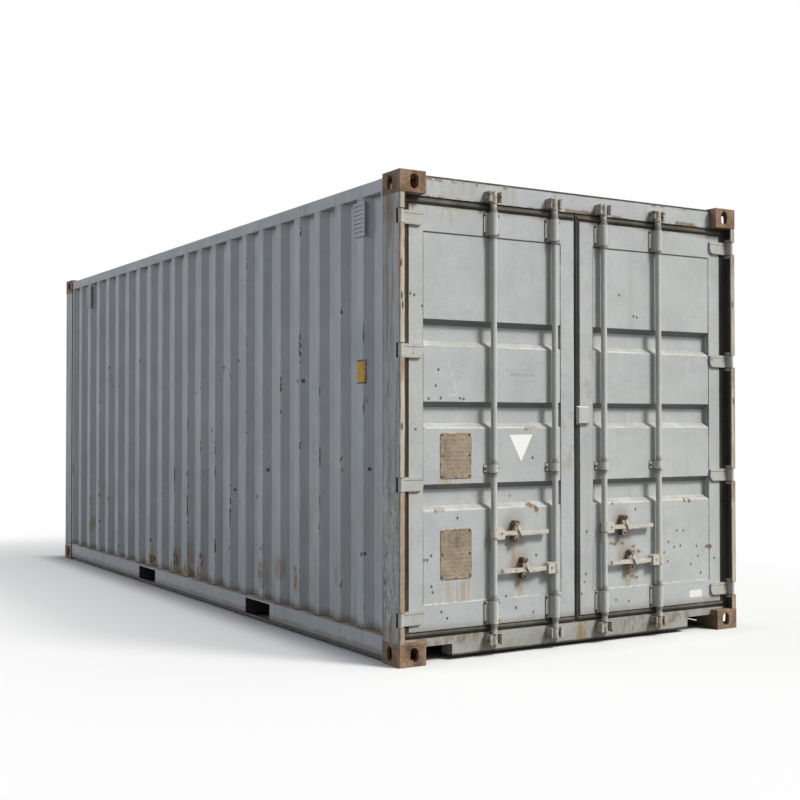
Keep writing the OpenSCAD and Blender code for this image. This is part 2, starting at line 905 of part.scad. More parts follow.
// Gasket round the leaf at the right, with its own edge at the meeting line
module door_gasket(meeting)
    color(gasket_black)
        run_y([leaf_y + gasket_setback, leaf_y + gasket_setback + gasket_depth])
            difference() {
                area([meeting, gasket_x], [leaf_bottom - gasket_bottom, leaf_top + gasket_top]);
                area([leaf_in, leaf_out], [leaf_bottom, leaf_top]);
            }

// Bracket outline round a rod, with its foot at the given face
module bracket_outline(foot)
    difference() {
        union() {
            circle(saddle_r);
            area([-saddle_r, saddle_r], [0, foot]);
        }
        circle(rod_r + rod_clear);
    }

// Bracket of one rod at a height, on the given face
module bracket(i, z, face, tall)
    translate([rod_x[i], rod_y, z]) {
        run_z([-tall / 2, tall / 2])
            bracket_outline(face - rod_y);
        run_y([face - rod_y - bracket_thick, face - rod_y])
            soft_area([-bracket_width / 2, bracket_width / 2], [-tall / 2, tall / 2], bracket_round);
    }

bracket_low = (leaf_bottom + panel_bottom) / 2;
bracket_high = (panel_top + leaf_top) / 2;

module rod_brackets(rods)
    color(door_grey)
        for (i = rods) {
            bracket(i, bracket_low, leaf_y, bracket_height);
            bracket(i, guide_z, panel_y, guide_height);
            bracket(i, bracket_high, leaf_y, bracket_height);
        }

// Retainer of one handle: plate, shelf under the bar, two eyes and the catch's pin
module retainer(i)
    translate([rod_x[i] + turn[i] * retainer_off[i], 0, handle_z[i]]) {
        block([-eye_r, eye_r], [panel_y - retainer_plate, panel_y], [-eye_down, eye_up]);
        translate([0, 0, eye_up])
            run_y([catch_back + catch_gap / 3, panel_y])
                circle(eye_r);
        difference() {
            run_y([catch_back + catch_gap / 3, panel_y]) {
                translate([0, -eye_down])
                    circle(eye_r);
                area([-eye_r, eye_r], [-eye_down, -handle_bar / 2 - catch_gap]);
            }
            translate([0, 0, -eye_down])
                run_y([catch_back, panel_y - retainer_plate])
                    circle(eye_hole_r);
        }
        translate([0, 0, eye_up]) {
            run_y([catch_front - catch_gap / 3, panel_y])
                circle(catch_pin_r);
            run_y([catch_front - catch_gap / 3 - catch_gap, catch_front - catch_gap / 3])
                circle(eye_r);
        }
    }

module handle_retainers(rods)
    color(door_grey)
        for (i = rods)
            retainer(i);

// Outline of a raised plate: its foot at Y 0 between two limits, with sloped edges
module raised(span)
    polygon([[span[0], 0], [span[0] + lap_bevel, -lap_thick],
             [span[1] - lap_bevel, -lap_thick], [span[1], 0]]);

module door_lap_plate()
    color(door_grey)
        translate([0, leaf_y, lap_z])
            intersection() {
                run_z([-lap_height / 2, lap_height / 2])
                    raised([-lap_reach, lap_width - lap_reach]);
                run_x([-lap_reach, lap_width - lap_reach])
                    rotate(90)
                        mirror([0, 1])
                            raised([-lap_height / 2, lap_height / 2]);
            }

// Cam outline with its lobe to the side away from the handle
module cam_outline(i) {
    lobe = cam_reach - cam_thick / 2;
    circle(cam_r);
    mirror([turn[i] > 0 ? 1 : 0, 0]) {
        area([0, lobe], [-cam_thick / 2, cam_thick / 2]);
        translate([lobe, 0])
            circle(d = cam_thick);
    }
}

// Rod with a cam at each end and a collar on each side of its end brackets
module lock_rod(i)
    color(door_grey)
        translate([rod_x[i], rod_y, 0]) {
            run_z([rod_bottom, rod_top])
                circle(rod_r);
            for (z = [rod_bottom, rod_top - cam_height])
                run_z([z, z + cam_height])
                    cam_outline(i);
            for (z = [rod_bottom + cam_height, rod_top - cam_height - disc_height])
                run_z([z, z + disc_height])
                    circle(collar_r);
            for (z = [bracket_low, bracket_high], end = [-1, 1])
                translate([0, 0, z + end * (bracket_height / 2 + collar_gap + collar_height / 2)])
                    cylinder(r = collar_r, h = collar_height, center = true);
        }

// Handle: a flat bar from a hub that is clamped round the rod
module handle(i)
    color(door_grey)
        translate([rod_x[i], rod_y, handle_z[i]])
            mirror([turn[i] > 0 ? 0 : 1, 0, 0])
                difference() {
                    union() {
                        cylinder(r = hub_r, h = hub_height - 2 * hub_round, center = true);
                        run_y([-hub_depth / 2, hub_depth / 2])
                            soft_area([0, hub_reach], [-hub_height / 2, hub_height / 2], hub_round);
                        run_y([-handle_front, handle_thick - handle_front])
                            soft_area([0, handle_reach], [-handle_bar / 2, handle_bar / 2], handle_bar / 4);
                    }
                    cylinder(r = rod_r + hub_clear, h = hub_height + 2 * cut, center = true);
                    translate([(rod_r + hub_reach) / 2, 0, 0])
                        run_y([-hub_depth / 2 - cut, -hub_depth / 2 + hub_hole_depth])
                            circle(hub_hole_r);
                }

// Catch that hangs from its eye across the front of the handle
module catch(i)
    color(door_grey)
        translate([rod_x[i] + turn[i] * retainer_off[i], 0, handle_z[i] + eye_up])
            run_y([catch_front, catch_back])
                difference() {
                    rotate(catch_lean) {
                        translate([0, -catch_length / 2])
                            oblong(catch_length + catch_width, catch_width);
                        translate([0, -catch_length])
                            rotate(90 - catch_lean)
                                translate([0, -tail_length / 2])
                                    oblong(tail_length + tail_width, tail_width);
                    }
                    circle(catch_pin_r + catch_clear);
                }

bottom_corner_fittings();
top_corner_fittings();
rear_posts();
front_posts();
door_header();
door_sill();
front_top_rail();
front_bottom_rail();
top_side_rails();
bottom_side_rails();
cross_members();
fork_tunnels();
floor_sheets();
left_side_panel();
right_side_panel();
front_panel();
roof_panel();
ventilators();
hinge_lugs();
cam_keepers();
mirror([1, 0, 0]) door_frame();  // left_door_frame
mirror([1, 0, 0]) door_panel();  // left_door_panel
mirror([1, 0, 0]) door_hinges();  // left_door_hinges
mirror([1, 0, 0]) door_gasket(left_meeting);  // left_door_gasket
rod_brackets(left_rods);  // left_rod_brackets
handle_retainers(left_rods);  // left_handle_retainers
door_frame();  // right_door_frame
door_panel();  // right_door_panel
door_hinges();  // right_door_hinges
door_gasket(right_meeting);  // right_door_gasket
rod_brackets(right_rods);  // right_rod_brackets
handle_retainers(right_rods);  // right_handle_retainers
door_lap_plate();
lock_rod(0);  // lock_rod_1
lock_rod(1);  // lock_rod_2
lock_rod(2);  // lock_rod_3
lock_rod(3);  // lock_rod_4
handle(0);  // handle_1
handle(1);  // handle_2
handle(2);  // handle_3
handle(3);  // handle_4
catch(0);  // catch_1
catch(1);  // catch_2
catch(2);  // catch_3
catch(3);  // catch_4
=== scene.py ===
from functools import reduce
import json
import math
import random

import bmesh
import bpy
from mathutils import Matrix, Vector


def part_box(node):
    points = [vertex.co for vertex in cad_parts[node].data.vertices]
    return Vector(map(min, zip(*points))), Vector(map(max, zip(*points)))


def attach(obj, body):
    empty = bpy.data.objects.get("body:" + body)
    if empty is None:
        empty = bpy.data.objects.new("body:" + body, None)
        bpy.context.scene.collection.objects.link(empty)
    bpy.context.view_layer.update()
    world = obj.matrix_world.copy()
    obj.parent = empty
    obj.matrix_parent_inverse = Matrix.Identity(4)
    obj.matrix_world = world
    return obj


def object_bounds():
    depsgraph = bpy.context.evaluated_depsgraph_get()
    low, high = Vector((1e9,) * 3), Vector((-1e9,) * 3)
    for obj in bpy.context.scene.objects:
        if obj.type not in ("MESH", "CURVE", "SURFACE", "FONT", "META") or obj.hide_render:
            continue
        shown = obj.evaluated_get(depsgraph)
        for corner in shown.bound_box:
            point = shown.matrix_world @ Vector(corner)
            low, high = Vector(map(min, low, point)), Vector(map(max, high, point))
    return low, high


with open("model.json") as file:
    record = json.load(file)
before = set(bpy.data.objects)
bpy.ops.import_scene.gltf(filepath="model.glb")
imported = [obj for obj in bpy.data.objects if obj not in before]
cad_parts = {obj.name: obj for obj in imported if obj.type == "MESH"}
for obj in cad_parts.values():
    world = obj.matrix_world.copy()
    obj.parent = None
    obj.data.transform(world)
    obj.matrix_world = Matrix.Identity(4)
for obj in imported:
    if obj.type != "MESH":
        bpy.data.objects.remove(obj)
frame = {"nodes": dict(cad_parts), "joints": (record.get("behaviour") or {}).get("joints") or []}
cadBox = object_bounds()
nodes = frame["nodes"]
scene = bpy.context.scene
print("frame loaded:", len(nodes), "nodes")


# colours are picked as screen colours and used as linear ones

def tint(code):
    parts = [int(code[i:i + 2], 16) / 255 for i in (1, 3, 5)]
    linear = [p / 12.92 if p <= 0.04045 else ((p + 0.055) / 1.055) ** 2.4 for p in parts]
    return (*linear, 1.0)


# node helpers, shared by materials, groups and geometry trees

def put(tree, kind, sockets=None, **settings):
    node = tree.nodes.new(kind)
    for name, value in settings.items():
        setattr(node, name, value)
    for key, value in (sockets or {}).items():
        if isinstance(value, bpy.types.NodeSocket):
            tree.links.new(value, node.inputs[key])
        else:
            node.inputs[key].default_value = value
    return node


def calc(tree, operation, *values, clamp=False):
    return put(tree, "ShaderNodeMath", dict(enumerate(values)), operation=operation, use_clamp=clamp).outputs[0]


def times(tree, first, second):
    return calc(tree, "MULTIPLY", first, second)


def chain(tree, operation, values):
    return reduce(lambda first, second: calc(tree, operation, first, second), values)


def spread(tree, operation, *values):
    return put(tree, "ShaderNodeVectorMath", dict(enumerate(values)), operation=operation).outputs[0]


def measure(tree, operation, *values):
    return put(tree, "ShaderNodeVectorMath", dict(enumerate(values)), operation=operation).outputs["Value"]


def stretch(tree, vector, scale):
    return spread(tree, "MULTIPLY", vector, scale)


def scaled(tree, vector, factor):
    return put(tree, "ShaderNodeVectorMath", {0: vector, "Scale": factor}, operation="SCALE").outputs[0]


def split(tree, vector):
    return put(tree, "ShaderNodeSeparateXYZ", {0: vector}).outputs


def mixColour(tree, factor, first, second):
    return put(tree, "ShaderNodeMix", {0: factor, 6: first, 7: second}, data_type="RGBA").outputs[2]


def fade(tree, value, low, high, start=0.0, end=1.0):
    return put(tree, "ShaderNodeMapRange", {"Value": value, "From Min": low, "From Max": high, "To Min": start,
                                            "To Max": end}, interpolation_type="SMOOTHSTEP").outputs[0]


def noise(tree, vector, scale, detail, rough):
    return put(tree, "ShaderNodeTexNoise", {"Vector": vector, "Scale": scale, "Detail": detail,
                                            "Roughness": rough}).outputs


def grain(tree, vector, scale, detail=4.0, rough=0.55):
    return noise(tree, vector, scale, detail, rough)["Fac"]


def cells(tree, vector, scale):
    return put(tree, "ShaderNodeTexVoronoi", {"Vector": vector, "Scale": scale}).outputs


def wander(tree, vector, scale, reach, rough=0.65, onto=None):
    # moves a place about by noise, so that edges drawn there become ragged
    drift = noise(tree, vector, scale, 4.0, rough)["Color"]
    moved = scaled(tree, spread(tree, "SUBTRACT", drift, (0.5, 0.5, 0.5)), reach)
    return spread(tree, "ADD", vector if onto is None else onto, moved)


def startGroup(name, given, made, kind="ShaderNodeTree"):
    tree = bpy.data.node_groups.new(name, kind)
    for end, sockets in (("INPUT", given), ("OUTPUT", made)):
        for label, sort in sockets.items():
            tree.interface.new_socket(label, in_out=end, socket_type="NodeSocket" + sort)
    return tree, tree.nodes.new("NodeGroupInput").outputs, tree.nodes.new("NodeGroupOutput").inputs


def endGroup(tree, out, **results):
    for name, value in results.items():
        tree.links.new(value, out[name])
    return tree


def place(tree, group, **sockets):
    return put(tree, "ShaderNodeGroup", sockets, node_tree=group).outputs


# shared effects

def makeStainGroup():
    tree, given, out = startGroup(
        "Box Stain", dict(Vector="Vector", Centre="Vector", Half="Vector", Soft="Float"), dict(Mask="Float"))
    away = spread(tree, "ABSOLUTE", spread(tree, "SUBTRACT", given["Vector"], given["Centre"]))
    inside = chain(tree, "MINIMUM", split(tree, spread(tree, "SUBTRACT", given["Half"], away)))
    back = times(tree, given["Soft"], -1.0)
    return endGroup(tree, out, Mask=fade(tree, inside, back, given["Soft"]))


def makeScratchGroup():
    core = 0.35  # share of the width that is fully marked
    tree, given, out = startGroup(
        "Scratch", dict(Vector="Vector", Start="Vector", End="Vector", Width="Float"), dict(Mask="Float"))
    along = spread(tree, "SUBTRACT", given["End"], given["Start"])
    away = spread(tree, "SUBTRACT", given["Vector"], given["Start"])
    reach = measure(tree, "DOT_PRODUCT", along, along)
    part = calc(tree, "DIVIDE", measure(tree, "DOT_PRODUCT", away, along), reach, clamp=True)
    gap = measure(tree, "DISTANCE", away, scaled(tree, along, part))
    inner = times(tree, given["Width"], core)
    return endGroup(tree, out, Mask=fade(tree, gap, given["Width"], inner))


def makeSpeckGroup():
    look = dict(least=0.35, blur=0.0012, rim=0.012)
    tree, given, out = startGroup("Specks", dict(Vector="Vector", Scale="Float", Share="Float", Size="Float"),
                                  dict(Mask="Float", Rim="Float"))
    cell = cells(tree, given["Vector"], given["Scale"])
    luck = put(tree, "ShaderNodeSeparateColor", {0: cell["Color"]}).outputs
    there = calc(tree, "LESS_THAN", luck[0], given["Share"])
    radius = times(tree, given["Size"], fade(tree, luck[1], 0.0, 1.0, look["least"], 1.0))
    gap = calc(tree, "SUBTRACT", radius, calc(tree, "DIVIDE", cell["Distance"], given["Scale"]))
    return endGroup(tree, out, Mask=times(tree, there, fade(tree, gap, -look["blur"], look["blur"])),
                    Rim=times(tree, there, fade(tree, gap, -look["rim"], 0.0)))


def makeRustGroup():
    look = dict(ends=[(0.3, "#382B25"), (0.74, "#AD9077")], between=[(0.44, "#5F4B3D"), (0.56, "#826852")],
                dark="#2B211C", darkest=0.35, pitScale=160.0, fineScale=90.0, coarseHeight=0.8, pitHeight=0.35)
    tree, given, out = startGroup("Rust", dict(Vector="Vector", Scale="Float", Light="Float"),
                                  dict(Color="Color", Height="Float"))
    coarse = grain(tree, given["Vector"], given["Scale"], 6.0, 0.7)
    pits = cells(tree, given["Vector"], look["pitScale"])["Distance"]
    fine = grain(tree, given["Vector"], look["fineScale"], 3.0)
    lift = calc(tree, "ADD", coarse, calc(tree, "SUBTRACT", given["Light"], 0.5))
    colours = put(tree, "ShaderNodeValToRGB", {"Fac": lift})
    steps = colours.color_ramp.elements
    for step, (position, code) in zip(steps, look["ends"]):
        step.position, step.color = position, tint(code)
    for position, code in look["between"]:
        steps.new(position).color = tint(code)
    shade = mixColour(tree, fade(tree, fine, 0.35, 0.65, 0.0, look["darkest"]), colours.outputs[0],
                      tint(look["dark"]))
    bumps = calc(tree, "ADD", times(tree, coarse, look["coarseHeight"]), times(tree, pits, look["pitHeight"]))
    return endGroup(tree, out, Color=shade, Height=bumps)


def makeEdgeGroup():
    # an edge shows where the rounded normal leaves the flat one; noise breaks it up
    tree, given, out = startGroup(
        "Edge Wear", dict(Vector="Vector", Radius="Float", Amount="Float", Scale="Float"),
        dict(Mask="Float", Normal="Vector"))
    soft = put(tree, "ShaderNodeBevel", {"Radius": given["Radius"]}, samples=4).outputs[0]
    flat = put(tree, "ShaderNodeNewGeometry").outputs["Normal"]
    turn = measure(tree, "DOT_PRODUCT", soft, flat)
    edge = fade(tree, calc(tree, "SUBTRACT", 1.0, turn), 0.01, 0.16)
    breaks = grain(tree, given["Vector"], given["Scale"], 5.0, 0.7)
    level = calc(tree, "SUBTRACT", 1.02, given["Amount"])
    bare = put(tree, "ShaderNodeMapRange", {"Value": breaks, "From Min": level}).outputs[0]
    return endGroup(tree, out, Mask=fade(tree, times(tree, edge, bare), 0.01, 0.07), Normal=soft)


def makePaintGroup():
    look = dict(bare="#2C221C", rust="#75553E", rim="#8C7A66", rimShare=0.42, chipSize=0.15, chipRough=0.85,
                chipDepth=0.5, skin=0.12, waves=2.2)
    tree, given, out = startGroup(
        "Worn Paint",
        dict(Vector="Vector", Paint="Color", Chalk="Color", Grime="Color", Fading="Float", Streaks="Float",
             Chips="Float", ChipScale="Float"),
        dict(Color="Color", Roughness="Float", Height="Float"))
    vector = given["Vector"]
    broad = fade(tree, grain(tree, vector, 0.9, 5.0), 0.36, 0.68)
    chalked = mixColour(tree, times(tree, broad, given["Fading"]), given["Paint"], given["Chalk"])
    mottle = fade(tree, grain(tree, vector, 6.5, 7.0, 0.66), 0.3, 0.7, 0.93, 1.05)
    speck = fade(tree, grain(tree, vector, 55.0, 3.0), 0.3, 0.72, 0.97, 1.03)
    toned = scaled(tree, chalked, times(tree, mottle, speck))
    # rain streaks run down from seams, so their pattern is drawn out along Z
    run = grain(tree, stretch(tree, vector, (13.0, 13.0, 0.55)), 1.0, 6.0, 0.62)
    reach = grain(tree, stretch(tree, vector, (1.1, 1.1, 0.8)), 1.0, 3.0)
    streak = times(tree, fade(tree, run, 0.54, 0.74), fade(tree, reach, 0.38, 0.62))
    streaked = mixColour(tree, times(tree, streak, given["Streaks"]), toned, given["Grime"])
    # chips: torn cells, larger where a slow pattern allows, with a stained rim
    torn = wander(tree, vector, 32.0, 0.045, 0.5, stretch(tree, vector, (1.0, 1.0, 0.6)))
    cell = cells(tree, torn, given["ChipScale"])
    pick = put(tree, "ShaderNodeSeparateColor", {0: cell["Color"]}).outputs[0]
    often = fade(tree, grain(tree, vector, 1.4, 3.0), 0.34, 0.7, 0.55, 1.0)
    rank = times(tree, often, given["Chips"])
    size = times(tree, fade(tree, calc(tree, "SUBTRACT", rank, pick), 0.0, 0.5), look["chipSize"])
    gap = calc(tree, "SUBTRACT", size, cell["Distance"])
    chip = fade(tree, gap, 0.0, 0.012)
    rim = times(tree, fade(tree, gap, -0.075, 0.01), fade(tree, size, 0.004, 0.03))
    rusty = mixColour(tree, grain(tree, vector, 60.0), tint(look["bare"]), tint(look["rust"]))
    stained = mixColour(tree, times(tree, rim, look["rimShare"]), streaked, tint(look["rim"]))
    colour = mixColour(tree, chip, stained, rusty)
    dull = fade(tree, grain(tree, vector, 4.0, 4.0), 0.3, 0.7, 0.48, 0.66)
    rough = calc(tree, "MAXIMUM", dull, times(tree, chip, look["chipRough"]))
    skin = times(tree, grain(tree, vector, 130.0, 2.0), look["skin"])
    waves = times(tree, grain(tree, vector, 2.6, 2.0), look["waves"])
    relief = calc(tree, "SUBTRACT", calc(tree, "ADD", skin, waves), times(tree, chip, look["chipDepth"]))
    return endGroup(tree, out, Color=colour, Roughness=rough, Height=relief)


stainGroup = makeStainGroup()
scratchGroup = makeScratchGroup()
speckGroup = makeSpeckGroup()
rustGroup = makeRustGroup()
edgeGroup = makeEdgeGroup()
paintGroup = makePaintGroup()
print("shared effects built")


def emptyTree(owner):
    owner.use_nodes = True
    owner.node_tree.nodes.clear()
    return owner.node_tree


def startMaterial(name):
    material = bpy.data.materials.new(name)
    tree = emptyTree(material)
    shader = put(tree, "ShaderNodeBsdfPrincipled")
    put(tree, "ShaderNodeOutputMaterial", {"Surface": shader.outputs[0]})
    vector = put(tree, "ShaderNodeTexCoord").outputs["Object"]
    return material, tree, shader.inputs, vector


def finishSurface(tree, skin, colour, rough, height, depth, normal=None, gloss=0.5):
    bump = put(tree, "ShaderNodeBump", {"Height": height, "Distance": depth, "Strength": 1.0})
    if normal is not None:
        tree.links.new(normal, bump.inputs["Normal"])
    tree.links.new(colour, skin["Base Color"])
    tree.links.new(rough, skin["Roughness"])
    tree.links.new(bump.outputs[0], skin["Normal"])
    skin["Specular IOR Level"].default_value = gloss


def faceOut(tree, vector, axis):
    # 1 on faces that look away from the container's middle along one axis
    turned = split(tree, put(tree, "ShaderNodeTexCoord").outputs["Normal"])[axis]
    away = split(tree, vector)[axis]
    return fade(tree, times(tree, turned, away), 0.02, 0.2)


def stainParts(tree, drift, stain):
    soft = stain.get("soft", 0.02)
    for middle, half in stain.get("boxes", ()):
        yield place(tree, stainGroup, Vector=drift, Centre=middle, Half=half, Soft=soft)["Mask"]
    for start, end, width in stain.get("strokes", ()):
        yield place(tree, scratchGroup, Vector=drift, Start=start, End=end, Width=width)["Mask"]
    if "spots" in stain:  # round marks of one size: the nearest one counts
        size, rim = stain["size"], stain.get("rim", 0.3)
        even = stretch(tree, drift, [1 / v for v in size])
        gaps = (measure(tree, "DISTANCE", even, [c / v for c, v in zip(spot, size)]) for spot in stain["spots"])
        yield fade(tree, chain(tree, "MINIMUM", gaps), 1.0 + rim, 1.0 - rim)


def addStains(tree, vector, colour, stains, outer=None):
    # a stain is a set of boxes, strokes or spots with ragged edges, some of them painted shade or painted
    # highlight; stains of one raggedness share their noise
    drifts = {}
    for stain in stains:
        key = (stain.get("scale", 9.0), stain.get("ragged", 0.05))
        if key not in drifts:
            drifts[key] = wander(tree, vector, *key) if key[1] else vector
        mask = chain(tree, "MAXIMUM", stainParts(tree, drifts[key], stain))
        if "runs" in stain:  # broken up by a noise drawn out along one axis
            drawn, low, high = stain["runs"]
            streaks = grain(tree, stretch(tree, vector, drawn), 1.0, 5.0, 0.65)
            mask = times(tree, mask, fade(tree, streaks, low, high))
        mask = times(tree, mask, stain["strength"])
        if outer is not None:
            mask = times(tree, mask, outer)
        shade = tint(stain["colour"])
        if "second" in stain:  # two tones, mixed by a fine noise
            shade = mixColour(tree, fade(tree, grain(tree, vector, 48.0, 3.0), 0.35, 0.65), shade,
                              tint(stain["second"]))
        colour = mixColour(tree, mask, colour, shade)
    return colour


def addSpecks(tree, vector, colour, look):
    torn = wander(tree, stretch(tree, vector, look["drawn"]), 60.0, 0.012)
    specks = place(tree, speckGroup, Vector=torn, Scale=look["scale"], Share=look["share"], Size=look["size"])
    often = fade(tree, split(tree, vector)[2], look["high"], look["low"], look["least"], 1.0)
    patch = times(tree, fade(tree, grain(tree, vector, look["patches"], 2.0), 0.42, 0.56), often)
    rim = times(tree, times(tree, specks["Rim"], patch), look["rim"])
    colour = mixColour(tree, rim, colour, tint(look["rimColour"]))
    return mixColour(tree, times(tree, specks["Mask"], patch), colour, tint(look["colour"]))


def paintedSteel(look, stains=(), extra=None, first=None):
    bareRough = 0.85
    material, tree, skin, vector = startMaterial(look["name"])
    paint = place(tree, paintGroup, Vector=vector, Paint=tint(look["paint"]), Chalk=tint(look["chalk"]),
                  Grime=tint(look["grime"]), Fading=look["fading"], Streaks=look["streaks"],
                  Chips=look["chips"], ChipScale=look["chipScale"])
    rust = place(tree, rustGroup, Vector=vector, Scale=22.0, Light=look["rustLight"])["Color"]
    edge = place(tree, edgeGroup, Vector=vector, Radius=look["edgeRadius"], Amount=look["edgeWear"],
                 Scale=look["edgeScale"])
    colour = paint["Color"]
    if "ledge" in look:  # dust on faces turned up, painted shade on faces turned down
        up = split(tree, put(tree, "ShaderNodeNewGeometry").outputs["Normal"])[2]
        dust = times(tree, fade(tree, up, 0.3, 0.7), fade(tree, grain(tree, vector, 8.0, 5.0), 0.25, 0.6))
        colour = mixColour(tree, times(tree, dust, look["ledge"]), colour, tint(look["dust"]))
        under = times(tree, fade(tree, up, -0.3, -0.7), look["under"])
        colour = mixColour(tree, under, colour, tint(look["downShade"]))
    if first:
        colour = first(tree, vector, colour)
    outer = faceOut(tree, vector, look["outer"]) if "outer" in look else None
    colour = addStains(tree, vector, colour, stains, outer)
    if "specks" in look:
        colour = addSpecks(tree, vector, colour, look["specks"])
    if extra:
        colour = extra(tree, vector, colour)
    colour = mixColour(tree, edge["Mask"], colour, rust)
    if "rusting" in look:  # patches where the paint has gone
        patch = grain(tree, vector, look["rustScale"], 6.0, 0.68)
        more = look["rusting"] * 0.3
        colour = mixColour(tree, fade(tree, patch, 0.68 - more, 0.75 - more), colour, rust)
    rough = calc(tree, "MAXIMUM", paint["Roughness"], times(tree, edge["Mask"], bareRough))
    finishSurface(tree, skin, colour, rough, paint["Height"], look["depth"], edge["Normal"], gloss=0.3)
    return material


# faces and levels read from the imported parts, in metres

leafLow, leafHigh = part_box("right_door_frame")
panelLow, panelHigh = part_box("right_door_panel")
headerLow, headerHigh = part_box("door_header")
sillLow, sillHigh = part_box("door_sill")
wallLow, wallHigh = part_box("left_side_panel")
postLow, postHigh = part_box("rear_posts")
leafFace = leafLow.y
panelFace = panelLow.y
headerFace = headerLow.y
wallFace = wallLow.x
axes = {joint["name"]: joint["pos_m"] for joint in frame["joints"]}
rodNumbers = (1, 2, 3, 4)
rodX = [axes[f"rod_{i}_turn"][0] for i in rodNumbers]
catchAt = [axes[f"catch_{i}_swing"] for i in rodNumbers]
bracket = dict(low=0.237, high=2.3535, guide=1.018, across=0.044, up=0.05, thick=0.006)


# paint of the two leaves, with its stains, painted shade and painted highlights

def onFace(face, places):
    return [(x, face, z) for x, z in places]


bandFoot = [0.8, 1.24, 1.68]  # lower edges of the pressed bands
panelMiddle, panelHalf = [-0.58, 0.58], 0.462
# the look's under and its dark colour paint shade on faces turned down, such as the upper slopes of the pressed
# bands
doorLook = dict(
    name="leafPaint", paint="#B1B5B7", chalk="#BFC2C1", grime="#85827A", fading=0.55, streaks=0.26, chips=0.2,
    chipScale=9.0, edgeRadius=0.004, edgeWear=0.5, edgeScale=14.0, depth=0.0009, rustLight=0.5, ledge=0.8,
    dust="#9C9C95", under=0.75, downShade="#4C4D4D",
    specks=dict(drawn=(1.0, 1.0, 0.8), scale=11.0, share=0.3, size=0.0075, low=0.3, high=1.5, least=0.25,
                patches=3.0, rim=0.3, rimColour="#9A8770", colour="#3B3733"))
bracketGrimeAndShade = dict(colour="#4A4742", strength=0.8, soft=0.004, ragged=0.004)
knock = dict(size=(0.007, 0.03, 0.008), colour="#35312E", second="#5B4B3D", strength=0.9, ragged=0.014,
             scale=40.0)
# seams of the sheets: dark joints at the head and the sides, with painted shade under the head; chipped at the
# foot, with a pale painted highlight along it
seamStainsAndLight = [
    dict(boxes=[((x, panelFace, panelHigh.z), (panelHalf, 0.01, 0.0045)) for x in panelMiddle],
         colour="#45423E", strength=0.85, soft=0.002, ragged=0.004),
    dict(boxes=[((x, leafFace, 1.29), (0.003, 0.01, 0.99)) for x in (-1.042, -0.118, 0.118, 1.042)],
         colour="#5A5853", strength=0.75, soft=0.002, ragged=0.004, runs=((5.0, 5.0, 2.0), 0.36, 0.55)),
    dict(boxes=[((x, leafFace, panelLow.z), (panelHalf, 0.01, 0.003)) for x in panelMiddle], colour="#E2E1D8",
         strength=0.9, soft=0.002, ragged=0.004, runs=((7.0, 7.0, 7.0), 0.42, 0.5)),
]
leafStainsAndLight = seamStainsAndLight + [
    # warm dust down the hinge stiles, dirt along the foot and head, runs from the head gasket
    dict(boxes=[((-1.12, leafFace, 1.3), (0.05, 0.03, 1.2)), ((1.12, leafFace, 1.3), (0.02, 0.03, 1.2))],
         colour="#B7AE9A", strength=0.45, soft=0.04, runs=((14.0, 14.0, 1.2), 0.35, 0.65)),
    dict(boxes=[((0, leafFace, leafLow.z), (1.14, 0.06, 0.02))], colour="#877D6D", strength=0.6, soft=0.03),
    dict(boxes=[((0, leafFace, leafHigh.z), (1.14, 0.06, 0.008))], colour="#8A7560", strength=0.6, soft=0.01),
    dict(boxes=[((-0.93, leafFace, leafHigh.z - 0.05), (0.2, 0.06, 0.05)),
         ((-0.62, leafFace, leafHigh.z - 0.02), (0.03, 0.06, 0.07))], colour="#AB9C80", strength=0.42,
         soft=0.04, runs=((34.0, 34.0, 2.6), 0.44, 0.62)),
    # grime and painted shade round the plates of the end brackets
    dict(bracketGrimeAndShade, boxes=[((x, leafFace, z), (0.0535, 0.03, 0.065)) for x in rodX
         for z in (bracket["low"], bracket["high"])]),
    # smears beside the lap plate
    dict(boxes=[((-0.07, leafFace, 1.22), (0.04, 0.03, 0.22)), ((0.07, leafFace, 1.5), (0.03, 0.03, 0.2))],
         colour="#94897A", strength=0.5, soft=0.03, runs=((16.0, 16.0, 9.0), 0.46, 0.62)),
    dict(knock, spots=onFace(leafFace, [(-1.122, 1.949), (-1.098, 1.943), (-1.048, 1.887), (-1.09, 1.234),
         (-0.927, 0.262), (-0.891, 0.225), (-0.436, 0.246), (0.289, 0.234), (0.386, 0.219), (0.063, 0.4),
         (0.052, 0.356), (0.069, 0.641), (1.084, 0.433), (-0.315, 0.213), (0.033, 0.289)])),
    dict(spots=onFace(leafFace, [(1.042, 0.506)]), size=(0.022, 0.03, 0.016), colour="#523829",
         second="#83603F", strength=0.9, ragged=0.024, scale=26.0),
    # bare sticker on the right leaf's foot
    dict(boxes=[((0.927, leafFace, 0.226), (0.051, 0.01, 0.022))], colour="#EDEDEB", strength=0.95,
         soft=0.0012, ragged=0.0),
]
leafPaint = paintedSteel(doorLook, leafStainsAndLight)

rustBreak = dict(colour="#4A3526", second="#8A6B45", strength=0.9, ragged=0.04, scale=38.0)
rustRun = dict(colour="#A99A70", strength=0.6, soft=0.012, ragged=0.014, runs=((60.0, 60.0, 3.0), 0.38, 0.6))
retainerRun = dict(colour="#A28356", strength=0.6, soft=0.01, ragged=0.02, runs=((70.0, 70.0, 4.0), 0.42, 0.58))


